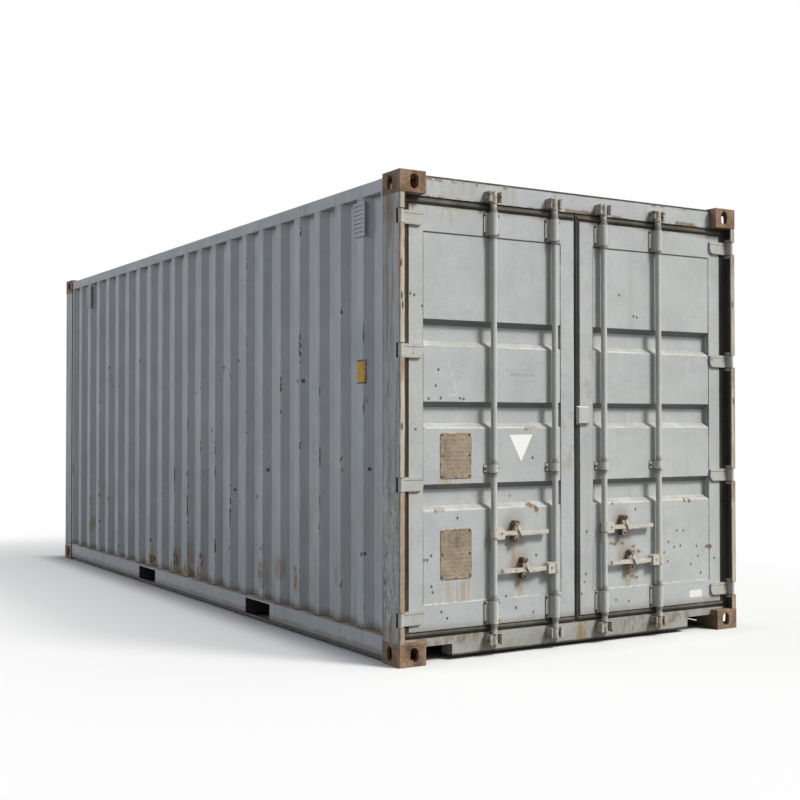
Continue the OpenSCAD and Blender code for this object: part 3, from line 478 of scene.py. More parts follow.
def panelStainsAndLight(middle, catches):
    # what both sheets carry: a painted highlight along the creases under the bands, soot and runs under the
    # retainers
    return seamStainsAndLight + [
        dict(boxes=[((middle, panelFace, z), (0.45, 0.012, 0.0035)) for z in bandFoot], colour="#E0E0DA",
             strength=0.75, soft=0.003, ragged=0.004, runs=((4.0, 4.0, 30.0), 0.3, 0.6)),
        dict(spots=[(x, panelFace, z - 0.05) for x, y, z in catches], size=(0.07, 0.1, 0.1), rim=0.6,
             colour="#857A68", strength=0.55),
        # grime and painted shade round the middle guides
        dict(bracketGrimeAndShade, boxes=[((x, panelFace, bracket["guide"]), (0.0535, 0.03, 0.026))
             for x in rodX if x * middle > 0]),
        dict(retainerRun, boxes=[((x + 0.004, panelFace, z - 0.17), (0.018, 0.05, 0.085))
             for x, y, z in catches]),
    ]


leftStainsAndLight = panelStainsAndLight(panelMiddle[0], catchAt[:2]) + [
    # rust breaking through at the creases, with runs below
    dict(spots=onFace(panelFace, [(-0.332, 1.246), (-0.36, 1.236), (-0.305, 1.25), (-0.323, 0.81),
         (-0.352, 0.83), (-0.93, 0.805), (-0.96, 0.8)]), size=(0.018, 0.04, 0.013), colour="#6E5637",
         second="#97845A", strength=0.75, ragged=0.024, scale=26.0, runs=((45.0, 45.0, 30.0), 0.42, 0.56)),
    dict(rustBreak, spots=onFace(panelFace, [(-0.289, 0.782), (-0.3, 0.8), (-0.325, 0.806), (-0.345, 0.81)]),
         size=(0.014, 0.04, 0.013)),
    dict(rustRun, boxes=[((-0.318, panelFace, 0.73), (0.007, 0.03, 0.05)),
         ((-0.29, panelFace, 0.73), (0.007, 0.03, 0.05)), ((-0.33, panelFace, 1.2), (0.03, 0.03, 0.04))]),
    dict(boxes=[((-0.835, panelFace, 0.36), (0.1, 0.03, 0.06)),
         ((-0.835, panelFace, 0.94), (0.1, 0.03, 0.03))], colour="#A59374", strength=0.7, ragged=0.02,
         runs=((60.0, 60.0, 3.0), 0.44, 0.6)),
    dict(knock, spots=onFace(panelFace, [(-0.962, 1.466), (-0.944, 1.551), (-0.931, 1.401), (-1.006, 1.397),
         (-0.804, 1.399), (-0.783, 1.396), (-0.823, 0.757), (-0.991, 0.564), (-1.017, 0.541), (-1.035, 0.542),
         (-0.982, 0.37), (-0.989, 0.4), (-0.503, 0.312), (-0.294, 0.528), (-0.318, 1.073), (-0.502, 0.598)])),
    # a mark scratched in a few strokes, and the faint border left by a label that was taken off
    dict(strokes=[((-0.881, panelFace, 1.601), (-0.854, panelFace, 1.515), 0.004),
         ((-0.854, panelFace, 1.515), (-0.827, panelFace, 1.421), 0.004),
         ((-0.831, panelFace, 1.587), (-0.852, panelFace, 1.522), 0.003),
         ((-0.735, panelFace, 1.601), (-0.791, panelFace, 1.512), 0.004),
         ((-0.791, panelFace, 1.512), (-0.827, panelFace, 1.425), 0.004),
         ((-0.88, panelFace, 1.412), (-0.825, panelFace, 1.42), 0.007)], colour="#D6D9DA", strength=0.65,
         ragged=0.014, runs=((70.0, 70.0, 70.0), 0.4, 0.56)),
    dict(boxes=[((-0.394, panelFace, 1.561), (0.1, 0.01, 0.002)),
         ((-0.394, panelFace, 1.501), (0.1, 0.01, 0.002)), ((-0.492, panelFace, 1.531), (0.002, 0.01, 0.03)),
         ((-0.39, panelFace, 1.535), (0.08, 0.01, 0.01))], colour="#9496A0", strength=0.6, soft=0.002,
         ragged=0.004, runs=((16.0, 16.0, 16.0), 0.36, 0.5)),
]
rightStainsAndLight = panelStainsAndLight(panelMiddle[1], catchAt[2:]) + [
    dict(rustBreak, spots=onFace(panelFace, [(0.838, 0.8), (0.873, 0.8), (0.876, 0.79)]),
         size=(0.01, 0.04, 0.013)),
    dict(rustBreak, spots=onFace(panelFace, [(1.03, 0.506)]), size=(0.02, 0.03, 0.014)),
    dict(rustRun, boxes=[((0.873, panelFace, 0.745), (0.005, 0.03, 0.05)),
         ((0.84, panelFace, 0.76), (0.005, 0.03, 0.04))]),
    dict(spots=onFace(panelFace, [(0.253, 0.563), (0.279, 0.557), (0.339, 0.562), (0.425, 0.541),
         (0.469, 0.506), (0.387, 0.383), (0.447, 0.354), (0.414, 0.365)]), size=(0.016, 0.03, 0.01),
         colour="#7C6548", strength=0.8, ragged=0.024, scale=26.0),
    dict(knock, spots=onFace(panelFace, [(0.774, 0.616), (0.826, 0.614), (0.705, 0.552), (0.802, 0.522),
         (0.75, 0.516), (0.67, 0.491), (0.947, 0.454), (0.936, 0.515), (0.698, 0.434), (0.888, 0.406),
         (0.97, 0.35), (0.443, 0.757), (0.264, 0.795), (0.323, 2.018), (0.432, 1.897), (0.459, 1.892)])),
]


def addTriangle(tree, vector, colour):
    # white sign: three straight edges, point down
    sign = dict(left=-0.476, right=-0.317, top=1.202, foot=1.053, blur=0.001, colour="#F2F2F0")
    x, y, z = split(tree, vector)
    middle, wide = (sign["left"] + sign["right"]) / 2, (sign["right"] - sign["left"]) / 2
    rise = calc(tree, "DIVIDE", calc(tree, "SUBTRACT", z, sign["foot"]), sign["top"] - sign["foot"])
    room = calc(tree, "SUBTRACT", times(tree, rise, wide),
                calc(tree, "ABSOLUTE", calc(tree, "SUBTRACT", x, middle)))
    inside = calc(tree, "MINIMUM", room, calc(tree, "SUBTRACT", sign["top"], z))
    front = calc(tree, "LESS_THAN", y, panelFace + sign["blur"])
    mask = times(tree, fade(tree, inside, -sign["blur"], sign["blur"]), front)
    return mixColour(tree, mask, colour, tint(sign["colour"]))


# outer: marks show only on faces that look outwards along this axis
leftPaint = paintedSteel(dict(doorLook, name="leftPanelPaint", outer=1), leftStainsAndLight, addTriangle)
rightPaint = paintedSteel(dict(doorLook, name="rightPanelPaint", outer=1), rightStainsAndLight)

# header and sill carry more rust than the leaves
headLook = dict(doorLook, name="headPaint", streaks=0.45, chips=0.45, edgeWear=0.62)
headStains = [
    dict(boxes=[((0, headerFace, headerHigh.z), (1.2, 0.02, 0.011))], colour="#241F1C", strength=0.95,
         soft=0.002, ragged=0.005),
    dict(boxes=[((-0.78, headerFace, headerHigh.z - 0.014), (0.3, 0.02, 0.012)),
         ((0.76, headerFace, headerHigh.z - 0.014), (0.2, 0.02, 0.007))], colour="#5E4C3C", second="#86705A",
         strength=0.8, soft=0.006, ragged=0.04, scale=16.0, runs=((24.0, 24.0, 9.0), 0.48, 0.58)),
    dict(boxes=[((-0.75, headerFace, headerHigh.z - 0.055), (0.32, 0.02, 0.045))], colour="#AA9E88",
         strength=0.5, soft=0.03, runs=((32.0, 32.0, 2.5), 0.42, 0.6)),
    dict(boxes=[((0, headerFace, headerLow.z), (1.2, 0.02, 0.009))], colour="#5B4B3E", second="#7A664F",
         strength=0.85, soft=0.005, ragged=0.022, scale=18.0, runs=((13.0, 13.0, 20.0), 0.46, 0.6)),
    dict(boxes=[((0.05, headerFace, headerLow.z + 0.008), (0.13, 0.02, 0.012)),
         ((0.85, headerFace, headerLow.z + 0.008), (0.08, 0.02, 0.012))], colour="#66523F", second="#8A7355",
         strength=0.85, soft=0.005, ragged=0.03, scale=24.0),
]
headPaint = paintedSteel(headLook, headStains)

sillLook = dict(doorLook, name="sillPaint", paint="#A0A29E", chalk="#ABACA7", grime="#666051", streaks=0.55,
                chips=0.7, edgeWear=0.7)
sillStainsAndShade = [
    dict(boxes=[((0, headerFace, sillHigh.z), (1.2, 0.05, 0.016))], colour="#6A5D50", strength=0.75,
         soft=0.015),
    dict(boxes=[((0, headerFace, 0.06), (1.2, 0.02, 0.06))], colour="#79735F", strength=0.4, soft=0.03,
         runs=((9.0, 9.0, 9.0), 0.42, 0.62)),
    dict(boxes=[((0.03, headerFace, 0.08), (0.035, 0.02, 0.06))], colour="#8F6F45", strength=0.8, soft=0.014,
         runs=((46.0, 46.0, 7.0), 0.36, 0.58)),
    dict(boxes=[((0.42, headerFace, 0.09), (0.09, 0.02, 0.045)), ((0.2, headerFace, 0.1), (0.05, 0.02, 0.03)),
         ((-0.86, headerFace, 0.11), (0.22, 0.02, 0.025)), ((0.78, headerFace, 0.1), (0.1, 0.02, 0.03))],
         colour="#6A5744", second="#857058", strength=0.7, soft=0.014, runs=((26.0, 26.0, 12.0), 0.42, 0.58)),
    # a dark line along the foot: painted shade of the flange's underside
    dict(boxes=[((0, headerFace, sillLow.z), (0.9, 0.02, 0.01))], colour="#332C27", strength=0.95, soft=0.003,
         ragged=0.01),
]
sillPaint = paintedSteel(sillLook, sillStainsAndShade)

# posts: cream showing on the worn lips, olive runs down the near side faces
postLook = dict(doorLook, name="postPaint", paint="#A6A9A8", streaks=0.5, chips=0.5, chipScale=10.0,
                edgeWear=0.72, edgeScale=7.0)
lipY = postLow.y
postMiddle = (postLow.z + postHigh.z) / 2
postTall = (postHigh.z - postLow.z) / 2
hingeZ = [0.243, 0.945, 1.647, 2.349]
channelBack = leafFace + 0.05
postStainsAndShade = [
    # side faces: olive and brown runs, pale scrapes low down
    dict(boxes=[((0, lipY + 0.09, postMiddle), (1.3, 0.09, postTall))], colour="#66665A", strength=0.75,
         soft=0.02, ragged=0.01, runs=((1.0, 26.0, 1.7), 0.38, 0.66)),
    dict(boxes=[((0, lipY + 0.11, 2.0), (1.3, 0.03, 0.6))], colour="#554F40", strength=0.75, soft=0.02,
         ragged=0.02, runs=((1.0, 38.0, 3.0), 0.45, 0.6)),
    dict(boxes=[((0, postHigh.y, postMiddle), (1.3, 0.009, postTall))], colour="#4B463B", strength=0.75,
         soft=0.006, ragged=0.014, runs=((1.0, 20.0, 2.2), 0.36, 0.54)),
    dict(boxes=[((0, lipY + 0.1, 0.55), (1.3, 0.09, 0.42))], colour="#C3C5BE", strength=0.8, soft=0.03,
         ragged=0.05, runs=((1.0, 55.0, 18.0), 0.54, 0.6)),
    dict(boxes=[((0, lipY + 0.08, 0.7), (1.3, 0.1, 0.65))], colour="#37332E", strength=0.85, soft=0.03,
         ragged=0.05, runs=((1.0, 70.0, 22.0), 0.6, 0.65)),
    dict(boxes=[((0, lipY + 0.09, postHigh.z), (1.3, 0.1, 0.14)),
         ((0, lipY + 0.09, postLow.z), (1.3, 0.1, 0.08))], colour="#6E513D", second="#8A6B50", strength=0.7,
         soft=0.05, ragged=0.1, runs=((1.0, 40.0, 3.0), 0.36, 0.6)),
    # painted shade in the channel behind the lip
    dict(boxes=[((side * 1.19, channelBack, postMiddle), (0.024, 0.085, postTall)) for side in (-1, 1)],
         colour="#35342E", strength=0.85, soft=0.004, ragged=0.004),
    # front lips: cream, with rust at the edges and below each hinge
    dict(boxes=[((0, lipY, postMiddle), (1.3, 0.003, postTall))], colour="#A8A495", strength=0.8, soft=0.002,
         ragged=0.0),
    dict(boxes=[((-1.2, lipY, 2.08), (0.02, 0.004, 0.26))], colour="#A98557", strength=0.7, soft=0.05,
         ragged=0.03, runs=((60.0, 60.0, 5.0), 0.4, 0.56)),
    dict(boxes=[((side * 1.2005, lipY, postMiddle), (0.012, 0.003, postTall)) for side in (-1, 1)],
         colour="#CDC6B2", strength=0.75, soft=0.004, ragged=0.012, runs=((30.0, 30.0, 2.4), 0.4, 0.58)),
    dict(boxes=[((side * x, lipY, postMiddle), (0.004, 0.004, postTall)) for side in (-1, 1)
         for x in (1.185, 1.2165)], colour="#4E382A", second="#765440", strength=0.85, soft=0.002,
         ragged=0.01, runs=((30.0, 30.0, 5.0), 0.36, 0.5)),
    dict(boxes=[((side * 1.2, lipY, z - 0.09), (0.02, 0.004, 0.07)) for side in (-1, 1) for z in hingeZ]
         + [((-1.203, lipY, 0.62), (0.016, 0.004, 0.34)), ((-1.2, lipY, 0.14), (0.02, 0.004, 0.06))],
         colour="#6B4830", second="#94693F", strength=0.9, soft=0.02, ragged=0.03,
         runs=((60.0, 60.0, 5.0), 0.4, 0.5)),
    dict(spots=onFace(lipY, [(-1.204, 1.93), (-1.2, 1.88), (-1.205, 1.25), (-1.208, 2.1), (1.205, 1.4),
         (1.2, 2.0)]), size=(0.006, 0.03, 0.022), colour="#3B2B21", strength=0.9, ragged=0.01),
]
postPaint = paintedSteel(postLook, postStainsAndShade)

# walls, roof and rails: the same paint, duller and more knocked about
wave = dict(count=22, edge=0.031, flat=0.072, slope=0.059, trough=0.0696, depth=0.036)
wavePitch = wave["flat"] + 2 * wave["slope"] + wave["trough"]
ridgeEdge = wallLow.y + wave["edge"] + wavePitch - wave["flat"]  # near edge of the first outer flat


def onWall(places, face=wallFace):
    return [(face, y, z) for y, z in places]


# long knocks: place along the wall, foot and head
longKnocks = [(-0.036, 0.51, 1.42), (-0.296, 1.12, 1.33), (0.224, 0.53, 1.33), (-2.113, 0.75, 1.6),
              (-2.373, 1.82, 2.19), (-2.632, 1.32, 2.02), (-0.555, 1.25, 1.565), (-1.594, 0.3, 0.52),
              (-1.334, 0.22, 0.5)]
# marks on the far wall
farKnocks = [(-2.4, 0.62), (-1.93, 1.21), (-1.52, 0.48), (-0.86, 1.66), (-0.31, 0.74), (0.22, 1.05),
             (0.58, 0.41), (1.17, 1.38), (1.49, 0.66), (2.05, 0.52), (2.43, 1.12), (2.6, 0.39)]
farRust = [(-2.07, 0.2), (-0.78, 0.24), (-0.5, 0.19), (1.05, 0.22), (1.83, 0.3), (2.36, 0.2)]
wallLook = dict(
    name="wallPaint", paint="#ADB1B4", chalk="#B9BCBB", grime="#74726A", fading=0.5, streaks=0.4, chips=0.2,
    chipScale=5.0, edgeRadius=0.005, edgeWear=0.42, edgeScale=9.0, depth=0.0012, rustLight=0.42,
    specks=dict(drawn=(1.0, 1.0, 0.55), scale=6.0, share=0.5, size=0.011, low=0.25, high=1.9, least=0.3,
                patches=2.0, rim=0.35, rimColour="#9A8770", colour="#322C28"))
labelAt, labelHalf = (wallFace, -2.596, 1.5475), (0.06, 0.0465, 0.0575)
wallStains = [
    # pale wear and olive damp on the sheet, then dirt at its foot and head
    dict(boxes=[((0, 0, 0.45), (1.3, 3.1, 0.4))], colour="#8A877A", strength=0.4, soft=0.3, ragged=0.2,
         scale=3.0, runs=((2.0, 9.0, 1.0), 0.42, 0.66)),
    dict(boxes=[((0, 0, wallLow.z), (1.3, 3.1, 0.03))], colour="#5D5547", strength=0.75, soft=0.03,
         ragged=0.06),
    dict(boxes=[((0, 0, wallHigh.z), (1.3, 3.1, 0.02))], colour="#7D7A72", strength=0.5, soft=0.05,
         ragged=0.08),
    # rust on single waves near the foot, with a stained edge round each
    dict(spots=onWall([(0.73, 0.21), (0.21, 0.27), (-0.02, 0.2), (-0.28, 0.21), (-0.08, 0.32), (-1.31, 0.3),
         (-1.57, 0.37), (-1.78, 0.31), (-2.3, 0.44), (2.29, 0.37), (0.3, 0.17), (-0.24, 0.16)]),
         size=(0.1, 0.06, 0.08), rim=0.5, colour="#8B7F60", strength=0.65, ragged=0.06,
         runs=((6.0, 22.0, 7.0), 0.36, 0.56)),
    dict(spots=onWall([(0.73, 0.2), (0.22, 0.25), (0.0, 0.19), (-0.27, 0.2), (-0.29, 0.3), (-1.3, 0.33),
         (0.24, 0.17), (-1.78, 0.3), (-1.79, 0.36), (0.3, 0.17), (-0.02, 0.17), (-0.06, 0.17)])
         + onWall(farRust, -wallFace), size=(0.1, 0.034, 0.05), colour="#4E321F", second="#8C5A2E",
         strength=0.9, ragged=0.06, scale=16.0, runs=((8.0, 36.0, 18.0), 0.42, 0.52)),
    # long knocks down the near edges of some waves
    dict(boxes=[((wallFace, y, (low + high) / 2), (0.05, 0.006, (high - low) / 2))
         for y, low, high in longKnocks], colour="#2E2724", second="#58473A", strength=0.9, soft=0.003,
         ragged=0.016, scale=14.0, runs=((4.0, 30.0, 5.0), 0.53, 0.58)),
    # single knocks
    dict(spots=onWall([(-0.625, 1.644), (-0.126, 1.477), (-0.879, 1.683), (0.104, 1.873), (-1.875, 1.52),
         (-1.83, 1.517), (-2.379, 1.005), (-2.666, 1.014), (-2.811, 1.134), (-1.175, 0.788), (-0.851, 0.819),
         (1.965, 0.723), (1.428, 0.739), (-2.641, 0.553), (-2.61, 0.55), (0.742, 0.351), (0.606, 0.43),
         (0.388, 0.425), (-0.402, 0.527), (-1.308, 0.467), (2.041, 0.407), (-0.5, 1.216), (-0.677, 1.217),
         (-1.369, 0.968), (-2.246, 0.826), (-0.928, 1.451), (-0.95, 0.24)]) + onWall(farKnocks, -wallFace),
         size=(0.1, 0.0105, 0.012), colour="#2B2522", second="#4C3D33", strength=0.95, ragged=0.03,
         scale=24.0),
    # bare yellow label with a black edge
    dict(boxes=[(labelAt, (0.06, 0.0545, 0.0655))], colour="#1E1B17", strength=0.95, soft=0.0015, ragged=0.0),
    dict(boxes=[(labelAt, labelHalf)], colour="#D9A63C", second="#C99533", strength=0.95, soft=0.0015,
         ragged=0.004, scale=40.0),
    dict(boxes=[(labelAt, labelHalf)], colour="#5A4420", strength=0.55, soft=0.004, ragged=0.01,
         runs=((40.0, 40.0, 40.0), 0.56, 0.66)),
]


def fromEdge(tree, along):
    return calc(tree, "ABSOLUTE", calc(tree, "WRAP", along, -wavePitch / 2, wavePitch / 2))


def chalkAndLitFlats(tree, vector, colour):
    # the flats that stand out are made paler, chalking with a painted highlight, more on some than on others
    look = dict(blur=0.008, chalk="#C0C4C8")
    y = split(tree, vector)[1]
    middle = calc(tree, "SUBTRACT", y, ridgeEdge + wave["flat"] / 2)
    half = wave["flat"] / 2
    flat = fade(tree, fromEdge(tree, middle), half + look["blur"], half - look["blur"])
    uneven = fade(tree, grain(tree, stretch(tree, vector, (0.4, 2.2, 0.35)), 1.0, 3.0), 0.3, 0.7, 0.05, 0.4)
    return mixColour(tree, times(tree, flat, uneven), colour, tint(look["chalk"]))


def addRidgeChips(tree, vector, colour):
    # small chips along the near edge of each outer flat, with paint lifted pale beside them
    look = dict(pale="#C6C8C4", dark="#2C2421", rust="#66503F")
    y, z = split(tree, vector)[1:3]
    drift = times(tree, calc(tree, "SUBTRACT", grain(tree, vector, 30.0), 0.5), 0.04)
    along = calc(tree, "ADD", calc(tree, "SUBTRACT", y, ridgeEdge), drift)
    gap = fromEdge(tree, along)
    low = fade(tree, z, 2.3, 0.3, 0.0, 0.045)
    runs = calc(tree, "ADD", grain(tree, stretch(tree, vector, (3.0, 6.0, 3.6)), 1.0, 6.0, 0.72), low)
    pale = times(tree, fade(tree, gap, 0.02, 0.008), fade(tree, runs, 0.55, 0.62, 0.0, 0.5))
    colour = mixColour(tree, pale, colour, tint(look["pale"]))
    chips = times(tree, fade(tree, gap, 0.011, 0.005), fade(tree, runs, 0.622, 0.645))
    brown = mixColour(tree, grain(tree, vector, 45.0), tint(look["dark"]), tint(look["rust"]))
    return mixColour(tree, chips, colour, brown)


wallPaint = paintedSteel(dict(wallLook, outer=0), wallStains, addRidgeChips, chalkAndLitFlats)

railLook = dict(wallLook, name="railPaint", streaks=0.5, chips=0.45, chipScale=8.0, edgeWear=0.5)
joint = dict(colour="#4A4641", soft=0.0015, ragged=0.002)
railStainsAndShade = [
    # bottom rails: brown dirt where the sheet stands on them, a dark lower lip of dirt and painted shade, three
    # upright joints
    dict(boxes=[((0, 0, 0.146), (1.3, 3.2, 0.008))], colour="#62513F", second="#85705A", strength=0.85,
         soft=0.004, ragged=0.01, runs=((3.0, 5.0, 8.0), 0.3, 0.5)),
    dict(boxes=[((0, 0, 0.023), (1.3, 3.2, 0.015))], colour="#231E1B", second="#3B3029", strength=0.94,
         soft=0.003, ragged=0.006),
    dict(boxes=[((0, 0, 0.044), (1.3, 3.2, 0.02))], colour="#6A6257", strength=0.55, soft=0.012),
    dict(joint, boxes=[((-1.21, y, 0.085), (0.02, 0.003, 0.06)) for y in (-2.62, -1.52, 1.9)], strength=0.7),
    # front posts: olive grime
    dict(boxes=[((side * 1.2, 2.96, 1.3), (0.09, 0.08, 1.25)) for side in (-1, 1)], colour="#6F6C57",
         strength=0.7, soft=0.03, runs=((16.0, 26.0, 1.2), 0.36, 0.64)),
    # joints of the top rails
    dict(joint, boxes=[((-1.21, y, 2.54), (0.02, 0.003, 0.05)) for y in (-1.86, 0.4)], strength=0.6),
]
railPaint = paintedSteel(railLook, railStainsAndShade)

# lock gear, hinges and plates: paint worn to cream, rust at the ends of the rods
gearLook = dict(name="gearPaint", paint="#B9BAB6", chalk="#C6C6C0", grime="#7C7263", fading=0.6, streaks=0.3,
                chips=0.4, chipScale=26.0, edgeRadius=0.003, edgeWear=0.55, edgeScale=26.0, depth=0.0004,
                rustLight=0.5)
gearPaint = paintedSteel(gearLook)
rodStains = [
    dict(boxes=[((0, leafFace - 0.03, 0.08), (1.2, 0.2, 0.06)),
         ((0, leafFace - 0.03, 2.51), (1.2, 0.2, 0.035))], colour="#7C6350", second="#A08B72", strength=0.8,
         soft=0.02, ragged=0.05, runs=((40.0, 40.0, 30.0), 0.4, 0.58)),
    dict(boxes=[((0, leafFace - 0.03, z), (1.2, 0.2, 0.02))
         for z in (0.165, 0.309, 2.29, 2.425, 0.99, 1.045)], colour="#5C5148", strength=0.55, soft=0.012,
         ragged=0.02),
]
rodPaint = paintedSteel(dict(gearLook, name="rodPaint"), rodStains)
handlePaint = paintedSteel(dict(gearLook, name="handlePaint", paint="#BEBAB1", chalk="#CCC8BF", chips=0.7,
                                edgeWear=0.85, rusting=0.3, rustScale=40.0))
# each hinge blade has a painted shade line for a groove below its top edge, and dirt along its foot
hingeStainsAndShade = [
    dict(boxes=[((side * 1.1, leafFace, z + 0.021), (0.085, 0.1, 0.0022)) for side in (-1, 1)
         for z in hingeZ], colour="#57544E", strength=0.75, soft=0.0016, ragged=0.004,
         runs=((20.0, 20.0, 20.0), 0.3, 0.5)),
    dict(boxes=[((side * 1.1, leafFace, z - 0.04), (0.1, 0.1, 0.005)) for side in (-1, 1) for z in hingeZ],
         colour="#6B5B4A", second="#8C7A64", strength=0.7, soft=0.006, ragged=0.02),
]
hingePaint = paintedSteel(dict(gearLook, name="hingePaint", paint="#B2B2AD", chalk="#C2C1BA", edgeWear=0.85,
                               rusting=0.16, rustScale=20.0), hingeStainsAndShade)
wornGear = paintedSteel(dict(gearLook, name="wornGear", paint="#A9A59D", edgeWear=0.85, rusting=0.5,
                             rustScale=30.0))
print("paints mixed")


def rustyCast(look):
    material, tree, skin, vector = startMaterial(look["name"])
    rust = place(tree, rustGroup, Vector=vector, Scale=look["scale"], Light=look["light"])
    edge = place(tree, edgeGroup, Vector=vector, Radius=0.006, Amount=0.7, Scale=12.0)
    old = fade(tree, grain(tree, vector, look["patches"], 5.0), 0.5, 0.6, 0.0, look["paintLeft"])
    colour = mixColour(tree, old, rust["Color"], tint(look["paint"]))
    colour = mixColour(tree, times(tree, edge["Mask"], 0.5), colour, tint(look["rim"]))
    rough = fade(tree, grain(tree, vector, 30.0), 0.3, 0.7, 0.72, 0.92)
    finishSurface(tree, skin, colour, rough, rust["Height"], 0.0016, edge["Normal"], gloss=0.25)
    return material


fittingRust = rustyCast(dict(name="fittingRust", scale=9.0, light=0.6, paintLeft=0.25, rim="#B0957C",
                             patches=6.0, paint="#94877A"))
retainerRust = rustyCast(dict(name="retainerRust", scale=34.0, light=0.45, paintLeft=0.75, rim="#B5A690",
                              patches=26.0, paint="#A59C8E"))
boltRust = rustyCast(dict(name="boltRust", scale=60.0, light=0.3, paintLeft=0.2, rim="#6A5D50", patches=40.0,
                          paint="#7E7A72"))
weldRust = rustyCast(dict(name="weldRust", scale=30.0, light=0.42, paintLeft=0.7, rim="#8A7A66", patches=5.0,
                          paint="#8F8A80"))


def gasketRubber():
    look = dict(rubber="#403F39", dust="#6D6A5F", rust="#534539", most=0.6, depth=0.0004)
    material, tree, skin, vector = startMaterial("gasketRubber")
    dust = grain(tree, stretch(tree, vector, (4.0, 4.0, 1.5)), 1.0, 6.0)
    dusty = fade(tree, dust, 0.4, 0.7, 0.0, look["most"])
    colour = mixColour(tree, dusty, tint(look["rubber"]), tint(look["dust"]))
    rusty = fade(tree, grain(tree, vector, 11.0, 6.0, 0.7), 0.56, 0.68, 0.0, look["most"])
    colour = mixColour(tree, rusty, colour, tint(look["rust"]))
    rough = fade(tree, grain(tree, vector, 20.0), 0.3, 0.7, 0.6, 0.85)
    finishSurface(tree, skin, colour, rough, grain(tree, vector, 70.0), look["depth"], gloss=0.3)
    return material


def underseal():
    look = dict(dark="#2C2B2A", pale="#4B4946", depth=0.0012)
    material, tree, skin, vector = startMaterial("underseal")
    rust = place(tree, rustGroup, Vector=vector, Scale=10.0, Light=0.4)
    bare = fade(tree, grain(tree, vector, 4.5, 6.0, 0.7), 0.55, 0.66)
    tar = mixColour(tree, grain(tree, vector, 14.0), tint(look["dark"]), tint(look["pale"]))
    rough = fade(tree, grain(tree, vector, 16.0), 0.3, 0.7, 0.65, 0.9)
    finishSurface(tree, skin, mixColour(tree, bare, tar, rust["Color"]), rough, rust["Height"], look["depth"])
    return material


def plywoodFloor():
    look = dict(light="#A47F56", dark="#6B4A2E", scuff="#4A382A", figure=0.35, layer=0.0028, depth=0.0008)
    material, tree, skin, vector = startMaterial("plywoodFloor")
    # the face grain runs along the container
    fibre = grain(tree, stretch(tree, vector, (38.0, 1.6, 8.0)), 1.0, 8.0, 0.65)
    figure = put(tree, "ShaderNodeTexWave", {
        "Vector": stretch(tree, vector, (1.0, 0.16, 1.0)), "Scale": 2.4, "Distortion": 9.0, "Detail": 3.0,
        "Detail Scale": 1.4}).outputs["Fac"]
    colour = mixColour(tree, fade(tree, fibre, 0.3, 0.7), tint(look["dark"]), tint(look["light"]))
    colour = mixColour(tree, times(tree, figure, look["figure"]), colour, tint(look["dark"]))
    scuffs = grain(tree, stretch(tree, vector, (7.0, 0.9, 7.0)), 1.0, 6.0, 0.7)
    colour = mixColour(tree, fade(tree, scuffs, 0.55, 0.68, 0.0, 0.75), colour, tint(look["scuff"]))
    # ply layers show at the cut edges
    layers = calc(tree, "PINGPONG", split(tree, vector)[2], look["layer"])
    colour = scaled(tree, colour, fade(tree, layers, 0.0008, 0.002, 0.8, 1.05))
    rough = fade(tree, fibre, 0.3, 0.7, 0.5, 0.75)
    finishSurface(tree, skin, colour, rough, fibre, look["depth"])
    return material


gasketBlack = gasketRubber()
tarBlack = underseal()
floorPly = plywoodFloor()

finishes = [
    (fittingRust, ["bottom_corner_fittings", "top_corner_fittings"]),
    (railPaint, ["front_posts", "front_top_rail", "front_bottom_rail", "top_side_rails", "bottom_side_rails",
                 "front_panel", "roof_panel", "ventilators"]),
    (wallPaint, ["left_side_panel", "right_side_panel"]),
    (tarBlack, ["cross_members", "fork_tunnels"]),
    (floorPly, ["floor_sheets"]),
    (postPaint, ["rear_posts"]),
    (headPaint, ["door_header"]),
    (sillPaint, ["door_sill"]),
    (leafPaint, ["left_door_frame", "right_door_frame"]),
    (leftPaint, ["left_door_panel"]),
    (rightPaint, ["right_door_panel"]),
    (gasketBlack, ["left_door_gasket", "right_door_gasket"]),
    (hingePaint, ["hinge_lugs", "left_door_hinges", "right_door_hinges"]),
    (wornGear, ["cam_keepers"]),
    (gearPaint, ["door_lap_plate", "left_rod_brackets", "right_rod_brackets"]),
    (retainerRust, ["left_handle_retainers", "right_handle_retainers"]),
    (rodPaint, [f"lock_rod_{i}" for i in rodNumbers]),
    (handlePaint, [f"{part}_{i}" for part in ("handle", "catch") for i in rodNumbers]),
]
for material, names in finishes:
    for name in names:
        nodes[name].data.materials.clear()
        nodes[name].data.materials.append(material)
print("frame painted:", sum(len(names) for material, names in finishes), "parts")


# small pieces: heads, beads and ribs are grown by geometry trees, then kept as plain meshes

def startTree(name, **given):
    return startGroup(name, dict(Geometry="Geometry", **given, Material="Material"), dict(Geometry="Geometry"),
                      "GeometryNodeTree")


def endTree(tree, given, out, shape):
    real = put(tree, "GeometryNodeRealizeInstances", {"Geometry": shape}).outputs[0]
    done = put(tree, "GeometryNodeSetMaterial", {"Geometry": real, "Material": given["Material"]}).outputs[0]
    return endGroup(tree, out, Geometry=done)


